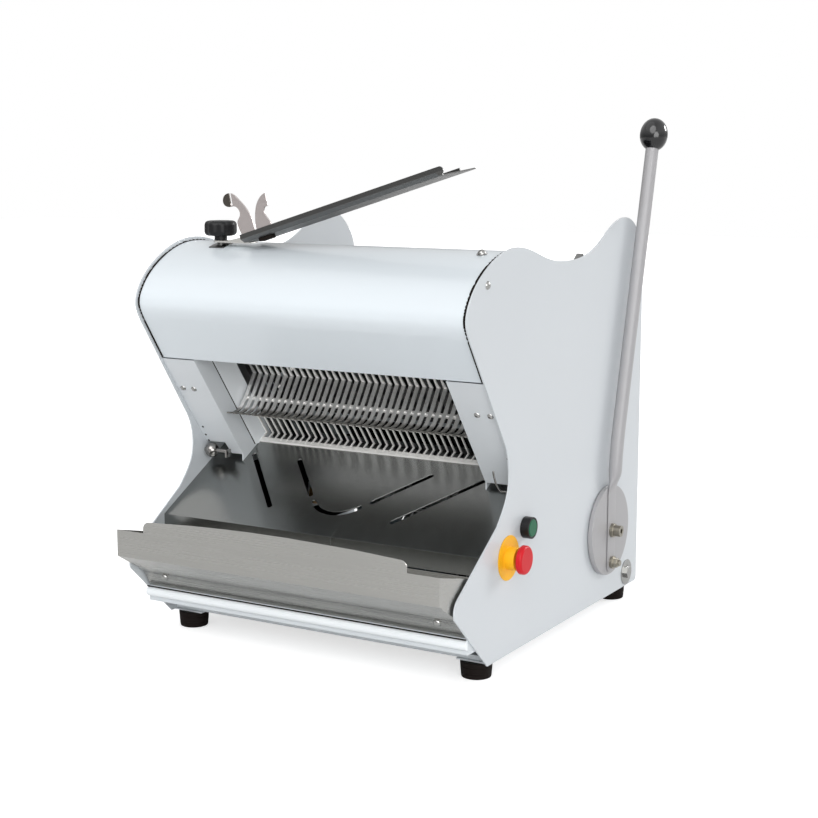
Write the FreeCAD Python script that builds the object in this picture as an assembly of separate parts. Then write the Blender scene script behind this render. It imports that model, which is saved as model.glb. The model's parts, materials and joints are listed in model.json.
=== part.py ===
import FreeCAD, Part
import math
import os
from FreeCAD import Vector

# Bench bread slicer: a pack of reciprocating blades in a painted sheet body, fed by a hand lever.
#
# Millimetres. X runs left to right seen from the front, Y front to back, Z up from the floor.
# Inside the functions X is measured from the middle of the body and Y from a line just in front of
# the side panels' toes. At the end all pieces move together, so that the origin lies on the floor
# below the middle of the whole outline.
#
# The loaf slides down a tilted infeed and meets the blades square on. That tilted region has its
# own pair of coordinates: `travel` runs back and up along the infeed floor from the blade plane,
# and `rise` runs up and forward along the blades from the infeed floor. tilted() turns them into
# Y and Z.

# ---- driving dimensions: body ----
body_width = 620.0
panel_sheet = 2.5
panel_depth = 600.0
panel_bottom = 27.0
toe_y = 4.0
corner_radius = 8.0
flange_width = 60.0
shell_sheet = 1.5
guard_sheet = 2.0

ear_y = 507.0
ear_height = 700.0
valley_y = 279.0
valley_height = 638.0
crest_y = 95.0
crest_height = 669.5
nose_y = -70.0
nose_height = 565.0
waist_y = 73.7
waist_height = 321.0
chin_y = -102.0
chin_height = 127.0

hood_inset = 6.0
hood_bottom = 471.0
hood_rear_y = 200.0

# ---- driving dimensions: outfeed ----
opening_width = 480.0
guard_top_height = 469.5
guard_bottom_height = 288.5
guard_foot_y = 127.0
jamb_depth = 103.0
table_angle = 28.57
table_top_y = 185.6
table_top_height = 308.5
table_front_y = -10.6
table_lip = 30.0
slot_width = 8.5
bar_width = 9.0
bar_thickness = 2.5
prong_thickness = 2.6
prong_width = 3.2

tray_front_y = -138.7
tray_rim_height = 200.5
tray_side_gap = 3.5
tray_front_height = 44.5
tray_bottom_height = 87.2
tray_back_y = -12.0
tray_knee_depth = 82.7
shelf_depth = 32.0
shelf_height = 27.0
tray_crest_width = 498.0
tray_crest_rise = 19.0
tray_crest_arch = 8.0
tray_crest_corner = 12.0

# ---- driving dimensions: blades ----
blade_angle = 36.5
blade_foot_y = 248.0
blade_foot_height = 342.6
blade_count = 37
blade_pitch = 13.2
blade_width = 11.0
blade_thickness = 0.6
blade_low_rise = -55.0
blade_high_rise = 250.0
blade_stroke = 15.0
frame_bar = 20.0
frame_depth = 12.0
frame_gap = 4.0
upright_inner_x = 256.0
upright_width = 16.0
guide_clearance = 0.3
guide_height = 25.0
guide_wall = 8.0

# ---- driving dimensions: hold-down comb ----
pivot_travel = -30.0
pivot_rise = 225.0
pivot_radius = 6.0
sleeve_wall = 3.0
finger_width = 7.0
finger_sheet = 2.0
finger_neck = 3.0
finger_taper = 24.0
tie_rod_radius = 4.0

# ---- driving dimensions: drive ----
crank_radius = 12.5
shaft_end = 4.0
eccentric_radius = 38.0
eccentric_width = 14.0
ring_clearance = 0.5
ring_wall = 8.5
rod_width = 12.0
rod_offset_x = 47.0
wrist_rise = -95.0
wrist_radius = 5.0
small_end_radius = 9.5
lug_width = 7.0
bearing_x = 125.0
bearing_width = 26.0
bearing_wall = 12.0
pulley_x = 198.0
pulley_width = 22.0
crank_pulley_radius = 70.0
motor_pulley_radius = 24.0
belt_thickness = 6.0
belt_clearance = 0.3
beam_top = 100.0
beam_height = 30.0
pulley_clearance = 15.8
beam_depth = 56.0
motor_y = 130.0
motor_height = 140.0
motor_radius = 62.0
motor_length = 200.0
motor_shaft_radius = 9.0
motor_foot = 6.0
motor_plate_lip = 18.0

# ---- driving dimensions: feed ----
trough_near = 18.0
trough_far = 330.0
trough_wall = 160.0
trough_end_wall = 60.0
trough_taper = 80.0
trough_bar = 16.0
pusher_height = 150.0
pusher_sheet = 4.0
feed_stroke = 229.0
feed_shaft_travel = 53.0
feed_shaft_rise = -276.3
feed_shaft_radius = 12.5
arm_length = 410.0
arm_rest_angle = 34.0
arm_width = 26.0
arm_thickness = 10.0
arm_x = 284.0
arm_pin_radius = 7.0
yoke_play = 6.5
yoke_wall = 8.0
yoke_bridge = 5.0
rail_x = 256.0
rail_rise = 25.0
rail_radius = 8.0
carriage_half = 24.0
lever_disc_radius = 80.0
lever_disc_thickness = 9.0
lever_flat_width = 34.0
lever_flat_thickness = 5.0
lever_tube_x = 16.0
lever_tube_radius = 11.5
lever_bend_back = 4.0
lever_bend_up = 148.0
lever_top_back = 137.0
lever_top_up = 666.0
lever_washer = 2.5
hub_bolt_radius = 10.0
hub_bolt_length = 13.0
lower_bolt_radius = 9.0
lever_bolt_drop = 58.0
knob_radius = 24.5
knob_length = 55.0

# ---- driving dimensions: controls, scoop, base ----
start_y = 129.0
start_height = 223.0
stop_y = 72.0
stop_height = 185.0
barrel_radius = 12.5
barrel_wall = 2.0
barrel_depth = 23.0
bezel_radius = 17.5
bezel_height = 15.0
cap_radius = 14.0
cap_thickness = 5.5
button_travel = 5.0
stem_radius = 8.0
stop_plate_radius = 36.0
stop_plate_sheet = 1.5
stop_collar_height = 18.0
stop_collar_rim = 6.0
mushroom_radius = 23.0
mushroom_height = 9.0
box_margin = 28.0
box_depth = 24.0
box_clearance = 12.0
scoop_pivot_x = -222.0
scoop_pivot_y = 50.0
scoop_start = 70.0
scoop_lift = 2.0
scoop_length = 389.0
scoop_angle = 16.9
scoop_width = 68.0
scoop_wall = 13.5
scoop_fold = 5.5
scoop_chamfer = 9.0
scoop_tongue = 33.0
horn_sheet = 2.5
arm_height = 3.0
arm_flange = 10.0
arm_flange_top = 15.0
arm_flange_start = 8.0
hinge_half = 12.0
horn_shift = -4.0
horn_slit = 3.4
post_radius = 6.0
clamp_radius = 27.5
clamp_hub = 7.5
clamp_height = 25.0
foot_radius = 26.0
foot_x = 278.0
foot_front_y = 28.0
foot_rear_y = 556.0
base_bar = 24.0
base_bar_height = 8.0
crumb_tray_y = 20.0
middle_bar_y = 262.0
crumb_tray_height = 28.0
crumb_tray_x = 222.0
drawer_mouth = 70.0
ear_overlap = 200.0
cable_x = -247.5
cable_height = 150.0
cable_radius = 4.5
gland_radius = 9.0
gland_length = 28.0
gland_nut = 6.0
cap_nut_x = 270.0
hood_bolt_front = 99.6
hood_bolt_drop = 51.1
dome_radius = 5.5
dome_height = 4.0
screw_radius = 4.5
screw_height = 3.0
guard_notch_width = 43.0
guard_notch_near = 40.0
guard_notch_far = 20.0
guard_notch_height = 21.0
guard_notch_slant = 3.0
guard_screw_height = 414.0
guard_screw_inset = 11.5
guard_screw_pitch = 23.0
tray_screw_x = 262.0
corner_bolt_inset = 48.4
corner_bolt_rise = 25.4
corner_washer_radius = 19.0
bolt_radius = 9.0
wire_radius = 1.5
wire_inset = 17.5
wire_y = 84.0
wire_height = 287.0
catch_x = -294.0
catch_y = 109.0
catch_z = 294.5
catch_radius = 12.8
catch_stem = 4.5
catch_reach = 38.0
catch_foot = 9.0
rest_gap = 0.3
shaft_clearance = 0.05

# ---- values worked out from the dimensions above ----
outer_x = body_width / 2
inner_x = outer_x - panel_sheet
opening_x = opening_width / 2
jamb_x = opening_x + guard_sheet
tilt = math.radians(blade_angle)
slope = math.radians(table_angle)
frame_near = frame_gap / 2
frame_far = frame_near + frame_depth
frame_mid = frame_near + frame_depth / 2


# ---- helpers ----
def tilted(travel, rise):
    """Y and Z of a point given along the infeed floor and along the blades."""
    y = blade_foot_y + travel * math.cos(tilt) - rise * math.sin(tilt)
    z = blade_foot_height + travel * math.sin(tilt) + rise * math.cos(tilt)
    return y, z


def untilted(y, z):
    """Travel and rise of a point given by Y and Z."""
    dy = y - blade_foot_y
    dz = z - blade_foot_height
    travel = dy * math.cos(tilt) + dz * math.sin(tilt)
    rise = dz * math.cos(tilt) - dy * math.sin(tilt)
    return travel, rise


feed_shaft_y, feed_shaft_height = tilted(feed_shaft_travel, feed_shaft_rise)
crank_height = beam_top + pulley_clearance + crank_pulley_radius
crank_rise = (crank_height - blade_foot_height) / math.cos(tilt)
crank_y, _ = tilted(0, crank_rise)


def polygon(points, x):
    corners = [Vector(x, y, z) for y, z in points]
    return Part.makePolygon(corners + corners[:1])


def prism(points, x0, x1):
    """Solid with a cross-section given in Y and Z, running from x0 to x1."""
    return Part.Face(polygon(points, x0)).extrude(Vector(x1 - x0, 0, 0))


def slab(travel0, travel1, rise0, rise1, x0, x1):
    """Rectangular block lined up with the tilted infeed."""
    corners = [(travel0, rise0), (travel1, rise0), (travel1, rise1), (travel0, rise1)]
    return prism([tilted(*corner) for corner in corners], x0, x1)


def block(x0, x1, y0, y1, z0, z1):
    return Part.makeBox(x1 - x0, y1 - y0, z1 - z0, Vector(x0, y0, z0))


def rod_x(y, z, radius, x0, x1):
    """Cylinder along X."""
    return Part.makeCylinder(radius, x1 - x0, Vector(x0, y, z), Vector(1, 0, 0))


def rod(start, end, radius):
    """Cylinder between two points."""
    axis = end - start
    return Part.makeCylinder(radius, axis.Length, start, axis)


def fuse(shapes):
    return shapes[0].fuse(shapes[1:]).removeSplitter()


def mirrored(shape):
    return shape.mirror(Vector(0, 0, 0), Vector(1, 0, 0))


def both_sides(shape):
    """A piece and its mirror image, kept as separate solids."""
    return Part.makeCompound([shape, mirrored(shape)])


def band(points, thickness, x0, x1):
    """Bent strip: the centre line is given in Y and Z, the corners are mitred."""
    left, right = [], []
    for index, (y, z) in enumerate(points):
        before = points[max(index - 1, 0)]
        after = points[min(index + 1, len(points) - 1)]
        angles = []
        for start, end in ((before, (y, z)), ((y, z), after)):
            if start != end:
                angles.append(math.atan2(end[1] - start[1], end[0] - start[0]))
        half_turn = (angles[-1] - angles[0]) / 2
        normal = angles[0] + half_turn + math.pi / 2
        reach = thickness / 2 / math.cos(half_turn)
        left.append((y + reach * math.cos(normal), z + reach * math.sin(normal)))
        right.append((y - reach * math.cos(normal), z - reach * math.sin(normal)))
    return prism(left + right[::-1], x0, x1)


# ---- side panels ----
def crown_points():
    """Wavy top of the side panel, from the back edge over ear, valley and crest to the nose."""
    shoulder = [(panel_depth, ear_height - 94), (panel_depth + 3, ear_height - 68)]
    ear = [(74, -32), (38, -6), (0, 0), (-50, -12), (-115, -44)]
    valley = [(56, 3), (0, 0), (-76, 8)]
    crest = [(50, -7.5), (0, 0), (-50, -5.5), (-103, -27.5)]
    nose = [(14, 37), (0, 0), (6, -17), (20, -39)]
    points = list(shoulder)
    points += [(ear_y + dy, ear_height + dz) for dy, dz in ear]
    points += [(valley_y + dy, valley_height + dz) for dy, dz in valley]
    points += [(crest_y + dy, crest_height + dz) for dy, dz in crest]
    points += [(nose_y + dy, nose_height + dz) for dy, dz in nose]
    return points


def waist_points():
    """Concave front of the side panel, from above the waist down to the table."""
    offsets = [(-12.7, 42.5), (0, 0), (-4.1, -31), (-17.2, -54), (-40.2, -80)]
    return [(waist_y + dy, waist_height + dz) for dy, dz in offsets]


def spline(points, x):
    curve = Part.BSplineCurve()
    curve.interpolate([Vector(x, y, z) for y, z in points])
    return curve


def panel_outline(x):
    crown = crown_points()
    waist = waist_points()
    chin_top = (chin_y + 12, chin_height + 31)
    chin_middle = (chin_y + 2, chin_height + 21)
    chin_low = (chin_y, chin_height)
    knee = (chin_y + 60, chin_height - 56)
    toe = (toe_y, panel_bottom)
    heel = (panel_depth - corner_radius, panel_bottom)
    back = (panel_depth, panel_bottom + corner_radius)
    diagonal = corner_radius * (1 - math.sqrt(0.5))
    heel_middle = (panel_depth - diagonal, panel_bottom + diagonal)

    def at(point):
        return Vector(x, point[0], point[1])

    edges = [
        Part.makeLine(at(toe), at(heel)),
        Part.Arc(at(heel), at(heel_middle), at(back)).toShape(),
        Part.makeLine(at(back), at(crown[0])),
        spline(crown, x).toShape(),
        Part.makeLine(at(crown[-1]), at(waist[0])),
        spline(waist, x).toShape(),
        Part.makeLine(at(waist[-1]), at(chin_top)),
        Part.Arc(at(chin_top), at(chin_middle), at(chin_low)).toShape(),
        Part.makeLine(at(chin_low), at(knee)),
        Part.makeLine(at(knee), at(toe)),
    ]
    return Part.Wire(edges)


def panel_blank():
    sheet = Part.Face(panel_outline(inner_x)).extrude(Vector(panel_sheet, 0, 0))
    flange_front = toe_y + corner_radius
    flange_back = panel_depth - 2 * corner_radius
    flange = block(
        outer_x - flange_width, inner_x, flange_front, flange_back,
        panel_bottom, panel_bottom + panel_sheet,
    )
    return fuse([sheet, flange])


def shaft_hole():
    hole = feed_shaft_radius + shaft_clearance + bearing_wall / 3
    return rod_x(feed_shaft_y, feed_shaft_height, hole, inner_x - 1, outer_x + 1)


def side_panel_left():
    return mirrored(panel_blank().cut(shaft_hole()))


def side_panel_right():
    holes = [shaft_hole()]
    for y, z in ((start_y, start_height), (stop_y, stop_height)):
        holes.append(rod_x(y, z, barrel_radius + rest_gap, inner_x - 1, outer_x + 1))
    return panel_blank().cut(holes)


# ---- hood ----
def hood_curve(inset):
    """Front and top of the panel outline moved inwards, cut off at the hood's rear edge."""
    crown = [point for point in crown_points() if point[0] < hood_rear_y + 10]
    curve = spline(crown, 0)
    moved = []
    for y, z in crown:
        tangent = curve.tangent(curve.parameter(Vector(0, y, z)))[0]
        moved.append((y - tangent.z * inset, z + tangent.y * inset))
    return moved


def hood_foot(inset):
    """Lower edge of the hood on the straight part of the panel front."""
    top = hood_curve(inset)[-1]
    nose_end = crown_points()[-1]
    waist_start = waist_points()[0]
    lean = (waist_start[0] - nose_end[0]) / (nose_end[1] - waist_start[1])
    return top[0] + (top[1] - hood_bottom) * lean, hood_bottom


def hood():
    x = -inner_x
    outside = hood_curve(hood_inset)
    inside = hood_curve(hood_inset + shell_sheet)
    outer_foot = hood_foot(hood_inset)
    inner_foot = hood_foot(hood_inset + shell_sheet)

    def at(point):
        return Vector(x, point[0], point[1])

    edges = [
        spline(outside, x).toShape(),
        Part.makeLine(at(outside[-1]), at(outer_foot)),
        Part.makeLine(at(outer_foot), at(inner_foot)),
        Part.makeLine(at(inner_foot), at(inside[-1])),
        spline(inside, x).toShape(),
        Part.makeLine(at(inside[0]), at(outside[0])),
    ]
    return Part.Face(Part.Wire(Part.sortEdges(edges)[0])).extrude(Vector(2 * inner_x, 0, 0))


def blade_shroud():
    """Sheet that closes the blade space towards the loading opening."""
    clearance = 3.0
    high = hood_curve(hood_inset + shell_sheet + clearance)[0]
    low = tilted(trough_near + 2 * clearance, trough_wall + 3 * clearance)
    return band([high, low], shell_sheet, -inner_x, inner_x)


# ---- outfeed opening ----
def guard_plane(z):
    """Y of the guards' front faces at height z."""
    return guard_foot_y - (z - guard_bottom_height) * math.tan(tilt)


def table_height(y):
    return table_top_height - (table_top_y - y) * math.tan(slope)


def pivot_point():
    return tilted(pivot_travel, pivot_rise)


def guard_right():
    """Front plate and jamb of the outfeed opening, folded from one sheet, with an ear for the pivot."""
    run = guard_sheet / math.cos(tilt)
    front = [
        (guard_plane(guard_bottom_height), guard_bottom_height),
        (guard_plane(guard_top_height), guard_top_height),
        (guard_plane(guard_top_height) + run, guard_top_height),
        (guard_plane(guard_bottom_height) + run, guard_bottom_height),
    ]
    jamb_back = guard_plane(guard_bottom_height) + jamb_depth * 0.55
    pivot_y, pivot_z = pivot_point()
    reach = 2.5 * pivot_radius
    jamb = [
        (guard_plane(guard_bottom_height), guard_bottom_height),
        (guard_plane(guard_bottom_height), table_height(guard_plane(guard_bottom_height))),
        (jamb_back, table_height(jamb_back)),
        (guard_plane(table_top_height + 42) + jamb_depth, table_top_height + 42),
        (guard_plane(440) + jamb_depth, 440),
        (pivot_y + reach, pivot_z - 2 * reach),
        (pivot_y + reach, pivot_z + reach),
        (pivot_y - reach, pivot_z + reach),
        (guard_plane(guard_top_height) + run, guard_top_height),
    ]
    plates = [prism(front, opening_x, inner_x), prism(jamb, opening_x, jamb_x)]
    hole = rod_x(pivot_y, pivot_z, pivot_radius, opening_x - 1, jamb_x + 1)
    return fuse(plates).cut(hole)


def guard_left():
    """Mirror image of the right guard, with its lower corner cut away above the catch knob."""
    x0 = -inner_x + guard_notch_width
    z0 = guard_bottom_height
    notch = [
        (-outer_x, z0 - 1), (x0, z0 - 1), (x0 - guard_notch_slant, z0 + guard_notch_height),
        (-outer_x, z0 + guard_notch_height),
    ]
    near_y = guard_foot_y - guard_notch_near
    face = Part.Face(Part.makePolygon([Vector(x, near_y, z) for x, z in notch + notch[:1]]))
    depth = guard_notch_near + guard_notch_far
    return mirrored(guard_right()).cut(face.extrude(Vector(0, depth, 0)))


def slot(x0, y0, x1, y1):
    """Cutter for a round-ended slot, standing upright through the table."""
    low = table_front_y
    tall = table_top_height
    start, end = Vector(x0, y0, 0), Vector(x1, y1, 0)
    side = (end - start).normalize().cross(Vector(0, 0, 1)) * (slot_width / 2)
    corners = [start + side, end + side, end - side, start - side, start + side]
    body = Part.Face(Part.makePolygon(corners)).extrude(Vector(0, 0, tall - low))
    ends = [Part.makeCylinder(slot_width / 2, tall - low, point) for point in (start, end)]
    return fuse([body] + ends)


def smile_slot():
    """Cutter for the curved slot in the middle of the table."""
    half_span, end_y, dip = 44.8, 57.0, 19.0
    radius = (half_span ** 2 + dip ** 2) / (2 * dip)
    centre = Vector(0, end_y - dip + radius, 0)
    ring = Part.makeCylinder(radius + slot_width / 2, table_top_height, centre)
    ring = ring.cut(Part.makeCylinder(radius - slot_width / 2, table_top_height, centre))
    keep = block(-half_span, half_span, end_y - 3 * dip, end_y + slot_width, 0, table_top_height)
    ends = [
        Part.makeCylinder(slot_width / 2, table_top_height, Vector(x, end_y, 0))
        for x in (-half_span, half_span)
    ]
    return fuse([ring.common(keep)] + ends)


def outfeed_table():
    """Sloping chute below the blades, with its slot pattern and a lip over the tray."""
    start = (table_top_y, table_top_height)
    end = (table_front_y, table_height(table_front_y))
    drop = shell_sheet / math.cos(slope)
    profile = [
        start,
        end,
        (end[0], end[1] - table_lip),
        (end[0] + shell_sheet, end[1] - table_lip),
        (end[0] + shell_sheet, table_height(end[0] + shell_sheet) - drop),
        (start[0], start[1] - drop),
    ]
    sheet = prism(profile, -inner_x, inner_x)
    outer_slot = slot(228.0, 144.6, 120.0, 36.5)
    inner_slot = slot(131.0, 143.0, 60.5, 71.6)
    return sheet.cut([outer_slot, mirrored(outer_slot), inner_slot, mirrored(inner_slot), smile_slot()])


def blade_x(index):
    return (index - (blade_count - 1) / 2) * blade_pitch


def outfeed_comb():
    """Bar along the top of the table with one bent prong in line with every blade."""
    back = table_top_y
    front = back - bar_width
    lift = bar_thickness / math.cos(slope)
    profile = [
        (front, table_height(front)),
        (back, table_height(back)),
        (back, table_height(back) + lift),
        (front, table_height(front) + lift),
    ]
    bar = prism(profile, -opening_x, opening_x)
    base_y = back - bar_width / 2
    base_z = table_height(base_y) + prong_width * 0.75
    path = [
        (base_y, base_z),
        (back + 12.0, table_top_height + 9.0),
        (back - 14.0, table_top_height + 42.0),
        (back - 25.0, table_top_height + 45.0),
    ]
    prongs = []
    for index in range(blade_count):
        x = blade_x(index)
        prongs.append(band(path, prong_width, x - prong_thickness / 2, x + prong_thickness / 2))
    return fuse([bar] + prongs)


# ---- front tray ----
def tray_profile(inset):
    y0 = tray_front_y + inset
    y1 = tray_back_y - inset
    knee = tray_rim_height - tray_front_height
    return [
        (y0, tray_rim_height),
        (y0, knee),
        (tray_front_y + tray_knee_depth - 20, tray_bottom_height + 30.2 + inset),
        (tray_front_y + tray_knee_depth, tray_bottom_height + inset),
        (y1, tray_bottom_height + inset),
        (y1, tray_rim_height - table_lip - 1 - inset / shell_sheet),
    ]


def tray_crest():
    """Raised, gently arched middle of the tray's front wall."""
    half = tray_crest_width / 2
    top = tray_rim_height + tray_crest_rise
    radius = tray_crest_corner

    def at(x, z):
        return Vector(x, tray_front_y, z)

    corner = radius * (1 - math.sqrt(0.5))
    edges = [
        Part.Arc(at(-half, top - radius), at(-half + corner, top - corner), at(-half + radius, top)).toShape(),
        Part.Arc(at(-half + radius, top), at(0, top + tray_crest_arch), at(half - radius, top)).toShape(),
        Part.Arc(at(half - radius, top), at(half - corner, top - corner), at(half, top - radius)).toShape(),
        Part.makeLine(at(half, top - radius), at(half, tray_rim_height - 5)),
        Part.makeLine(at(half, tray_rim_height - 5), at(-half, tray_rim_height - 5)),
        Part.makeLine(at(-half, tray_rim_height - 5), at(-half, top - radius)),
    ]
    return Part.Face(Part.Wire(edges)).extrude(Vector(0, shell_sheet, 0))


def front_tray():
    """Folded sheet trough in front of the table, open at the top."""
    half = inner_x - tray_side_gap
    outside = prism(tray_profile(0), -half, half)
    inside = tray_profile(shell_sheet)
    inside[0] = (inside[0][0], tray_rim_height + 10)
    inside[-1] = (inside[-1][0], tray_rim_height + 10)
    hollow = prism(inside, -half + shell_sheet, half - shell_sheet)
    return fuse([outside.cut(hollow), tray_crest()])


def front_rail():
    """Half-round bar along the front of the tray shelf."""
    radius = 8.4
    y0 = tray_front_y + tray_knee_depth
    z0 = tray_bottom_height - 2 - radius
    full = rod_x(y0, z0, radius, -inner_x, inner_x)
    return full.cut(block(-outer_x, outer_x, y0, y0 + 2 * radius, z0 - 2 * radius, z0 + 2 * radius))


# ---- blade pack ----
def blade_frame(direction):
    """One rectangular blade frame; direction is -1 for the front frame and +1 for the rear one."""
    travel0, travel1 = sorted((direction * frame_near, direction * frame_far))
    outer = upright_inner_x + upright_width
    bars = []
    for rise in (blade_low_rise - frame_bar, blade_high_rise):
        bars.append(slab(travel0, travel1, rise, rise + frame_bar, -outer, outer))
    for x0 in (-outer, upright_inner_x):
        bars.append(
            slab(travel0, travel1, blade_low_rise - frame_bar, blade_high_rise + frame_bar, x0, x0 + upright_width)
        )
    gap = 1.0
    first = rod_offset_x - gap - lug_width
    for inner in (first, rod_offset_x + rod_width + gap):
        x0, x1 = sorted((direction * inner, direction * (inner + lug_width)))
        bars.append(slab(travel0, travel1, wrist_rise - small_end_radius, blade_low_rise - frame_bar, x0, x1))
    y, z = tilted(direction * frame_mid, wrist_rise)
    bore = rod_x(y, z, wrist_radius, -outer, outer)
    return fuse(bars).cut(bore)


def blades(direction):
    """Every second blade, starting at the outermost one for the rear frame."""
    first = 0 if direction > 0 else 1
    centre = direction * frame_mid
    plates = []
    for index in range(first, blade_count, 2):
        x = blade_x(index)
        plates.append(
            slab(
                centre - blade_width / 2, centre + blade_width / 2, blade_low_rise, blade_high_rise,
                x - blade_thickness / 2, x + blade_thickness / 2,
            )
        )
    return Part.makeCompound(plates)


def guide_blocks():
    """Four blocks on the panels with two slots each, in which the frames' uprights slide."""
    shapes = []
    half = frame_far + guide_wall
    low = blade_low_rise + blade_stroke + 10
    high = blade_high_rise - blade_stroke - 15 - guide_height
    for rise in (low, high):
        body = slab(-half, half, rise, rise + guide_height, upright_inner_x - guide_wall, inner_x)
        cuts = []
        for direction in (-1, 1):
            travel0, travel1 = sorted((direction * frame_near, direction * frame_far))
            cuts.append(
                slab(
                    travel0 - guide_clearance, travel1 + guide_clearance, rise - 1, rise + guide_height + 1,
                    upright_inner_x - guide_clearance, upright_inner_x + upright_width + guide_clearance,
                )
            )
        guide = body.cut(cuts)
        shapes += [guide, mirrored(guide)]
    return Part.makeCompound(shapes)


# ---- hold-down comb ----
def finger_path():
    """Centre line of a finger below its neck: back corner, front bend, curled lip."""
    return [(153.0, 431.0), (130.0, 396.5), (114.0, 378.0), (104.0, 371.5), (92.0, 369.0), (74.0, 371.0)]


def tie_rod_centre():
    """Y and Z of the tie rod, let a little into the backs of the fingers just below their rear bend."""
    (y, z), (next_y, next_z) = finger_path()[1:3]
    length = math.dist((y, z), (next_y, next_z))
    along_y, along_z = (next_y - y) / length, (next_z - z) / length
    weld_depth = 0.5
    offset = tie_rod_radius + finger_sheet / 2 - weld_depth
    start = tie_rod_radius + 1
    return y + along_y * start - along_z * offset, z + along_z * start + along_y * offset


def hold_down_comb():
    """Flat fingers that press on the loaf, on a sleeve at the top and a tie rod at the bottom."""
    pivot_y, pivot_z = pivot_point()
    path = finger_path()
    bend_y, bend_z = path[0]
    bore = pivot_radius + shaft_clearance
    sleeve_radius = bore + sleeve_wall
    span = blade_x(blade_count - 1) - blade_pitch / 2 + finger_width / 2
    sleeve = rod_x(pivot_y, pivot_z, sleeve_radius, -span - 2, span + 2)
    rise = Vector(0, pivot_y - bend_y, pivot_z - bend_z)
    along = Vector(rise).normalize()
    face = along.cross(Vector(1, 0, 0))
    parts = [sleeve]
    for index in range(blade_count - 1):
        x = blade_x(index) + blade_pitch / 2
        parts.append(band(path, finger_sheet, x - finger_width / 2, x + finger_width / 2))
        foot = Vector(x, bend_y, bend_z) - face * (finger_sheet / 2)
        outline = []
        for across, up in (
            (-finger_width / 2, -1), (finger_width / 2, -1), (finger_width / 2, 0),
            (finger_neck / 2, finger_taper), (finger_neck / 2, rise.Length),
            (-finger_neck / 2, rise.Length), (-finger_neck / 2, finger_taper), (-finger_width / 2, 0),
        ):
            outline.append(foot + Vector(across, 0, 0) + along * up)
        parts.append(Part.Face(Part.makePolygon(outline + outline[:1])).extrude(face * finger_sheet))
    parts.append(rod_x(*tie_rod_centre(), tie_rod_radius, -span, span))
    comb = fuse(parts)
    return comb.cut(rod_x(pivot_y, pivot_z, bore, -inner_x, inner_x))


def hold_down_shaft():
    y, z = pivot_point()
    return rod_x(y, z, pivot_radius, -jamb_x - 16, jamb_x + 16)


# ---- drive ----
def throw_axis(direction):
    """Centre of an eccentric at rest: level with the shaft, to the front or to the rear of it."""
    return tilted(direction * blade_stroke, crank_rise)


def crankshaft():
    end = pulley_x + pulley_width + shaft_end
    shaft = rod_x(crank_y, crank_height, crank_radius, -bearing_x - bearing_width, end)
    discs = []
    for direction in (-1, 1):
        near = rod_offset_x + rod_width + rest_gap
        x0, x1 = sorted((direction * near, direction * (near + eccentric_width)))
        disc_y, disc_z = throw_axis(direction)
        discs.append(rod_x(disc_y, disc_z, eccentric_radius, x0, x1))
    return fuse([shaft] + discs)


def con_rod(direction):
    """Connecting rod from the eccentric's ring to the wrist pin of its blade frame."""
    big_y, big_z = throw_axis(direction)
    small_y, small_z = tilted(direction * frame_mid, wrist_rise)
    x0, x1 = sorted((direction * rod_offset_x, direction * (rod_offset_x + rod_width)))
    bore = eccentric_radius + ring_clearance
    ring = rod_x(big_y, big_z, bore + ring_wall, x0, x1)
    eye = rod_x(small_y, small_z, small_end_radius, x0, x1)
    shank = band([(big_y, big_z), (small_y, small_z)], small_end_radius, x0, x1)
    bores = [
        rod_x(big_y, big_z, bore, x0 - 1, x1 + 1),
        rod_x(small_y, small_z, wrist_radius + shaft_clearance, x0 - 1, x1 + 1),
    ]
    return fuse([ring, eye, shank]).cut(bores)


def wrist_pin(direction):
    y, z = tilted(direction * frame_mid, wrist_rise)
    low = rod_offset_x - 1.0 - lug_width
    high = rod_offset_x + rod_width + 1.0 + lug_width
    x0, x1 = sorted((direction * low, direction * high))
    return rod_x(y, z, wrist_radius, x0, x1)


def crank_bearings():
    y, z = crank_y, crank_height
    shapes = []
    for x in (-bearing_x, bearing_x):
        x0, x1 = x - bearing_width / 2, x + bearing_width / 2
        housing = rod_x(y, z, crank_radius + bearing_wall, x0, x1)
        foot = block(x0, x1, y - crank_radius - bearing_wall, y + crank_radius + bearing_wall, beam_top, z)
        bore = rod_x(y, z, crank_radius + shaft_clearance, x0 - 1, x1 + 1)
        shapes.append(fuse([housing, foot]).cut(bore))
    return Part.makeCompound(shapes)


def grooved_pulley(y, z, radius, bore):
    """Pulley with a rim on each side of the belt and a plain bore."""
    rim = 4.0
    core = rod_x(y, z, radius - belt_thickness, pulley_x, pulley_x + pulley_width)
    flanges = [
        rod_x(y, z, radius, pulley_x, pulley_x + rim),
        rod_x(y, z, radius, pulley_x + pulley_width - rim, pulley_x + pulley_width),
    ]
    return fuse([core] + flanges).cut(rod_x(y, z, bore, pulley_x - 1, pulley_x + pulley_width + 1))


def crank_pulley():
    return grooved_pulley(crank_y, crank_height, crank_pulley_radius, crank_radius)


def motor_pulley():
    return grooved_pulley(motor_y, motor_height, motor_pulley_radius, motor_shaft_radius)


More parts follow.
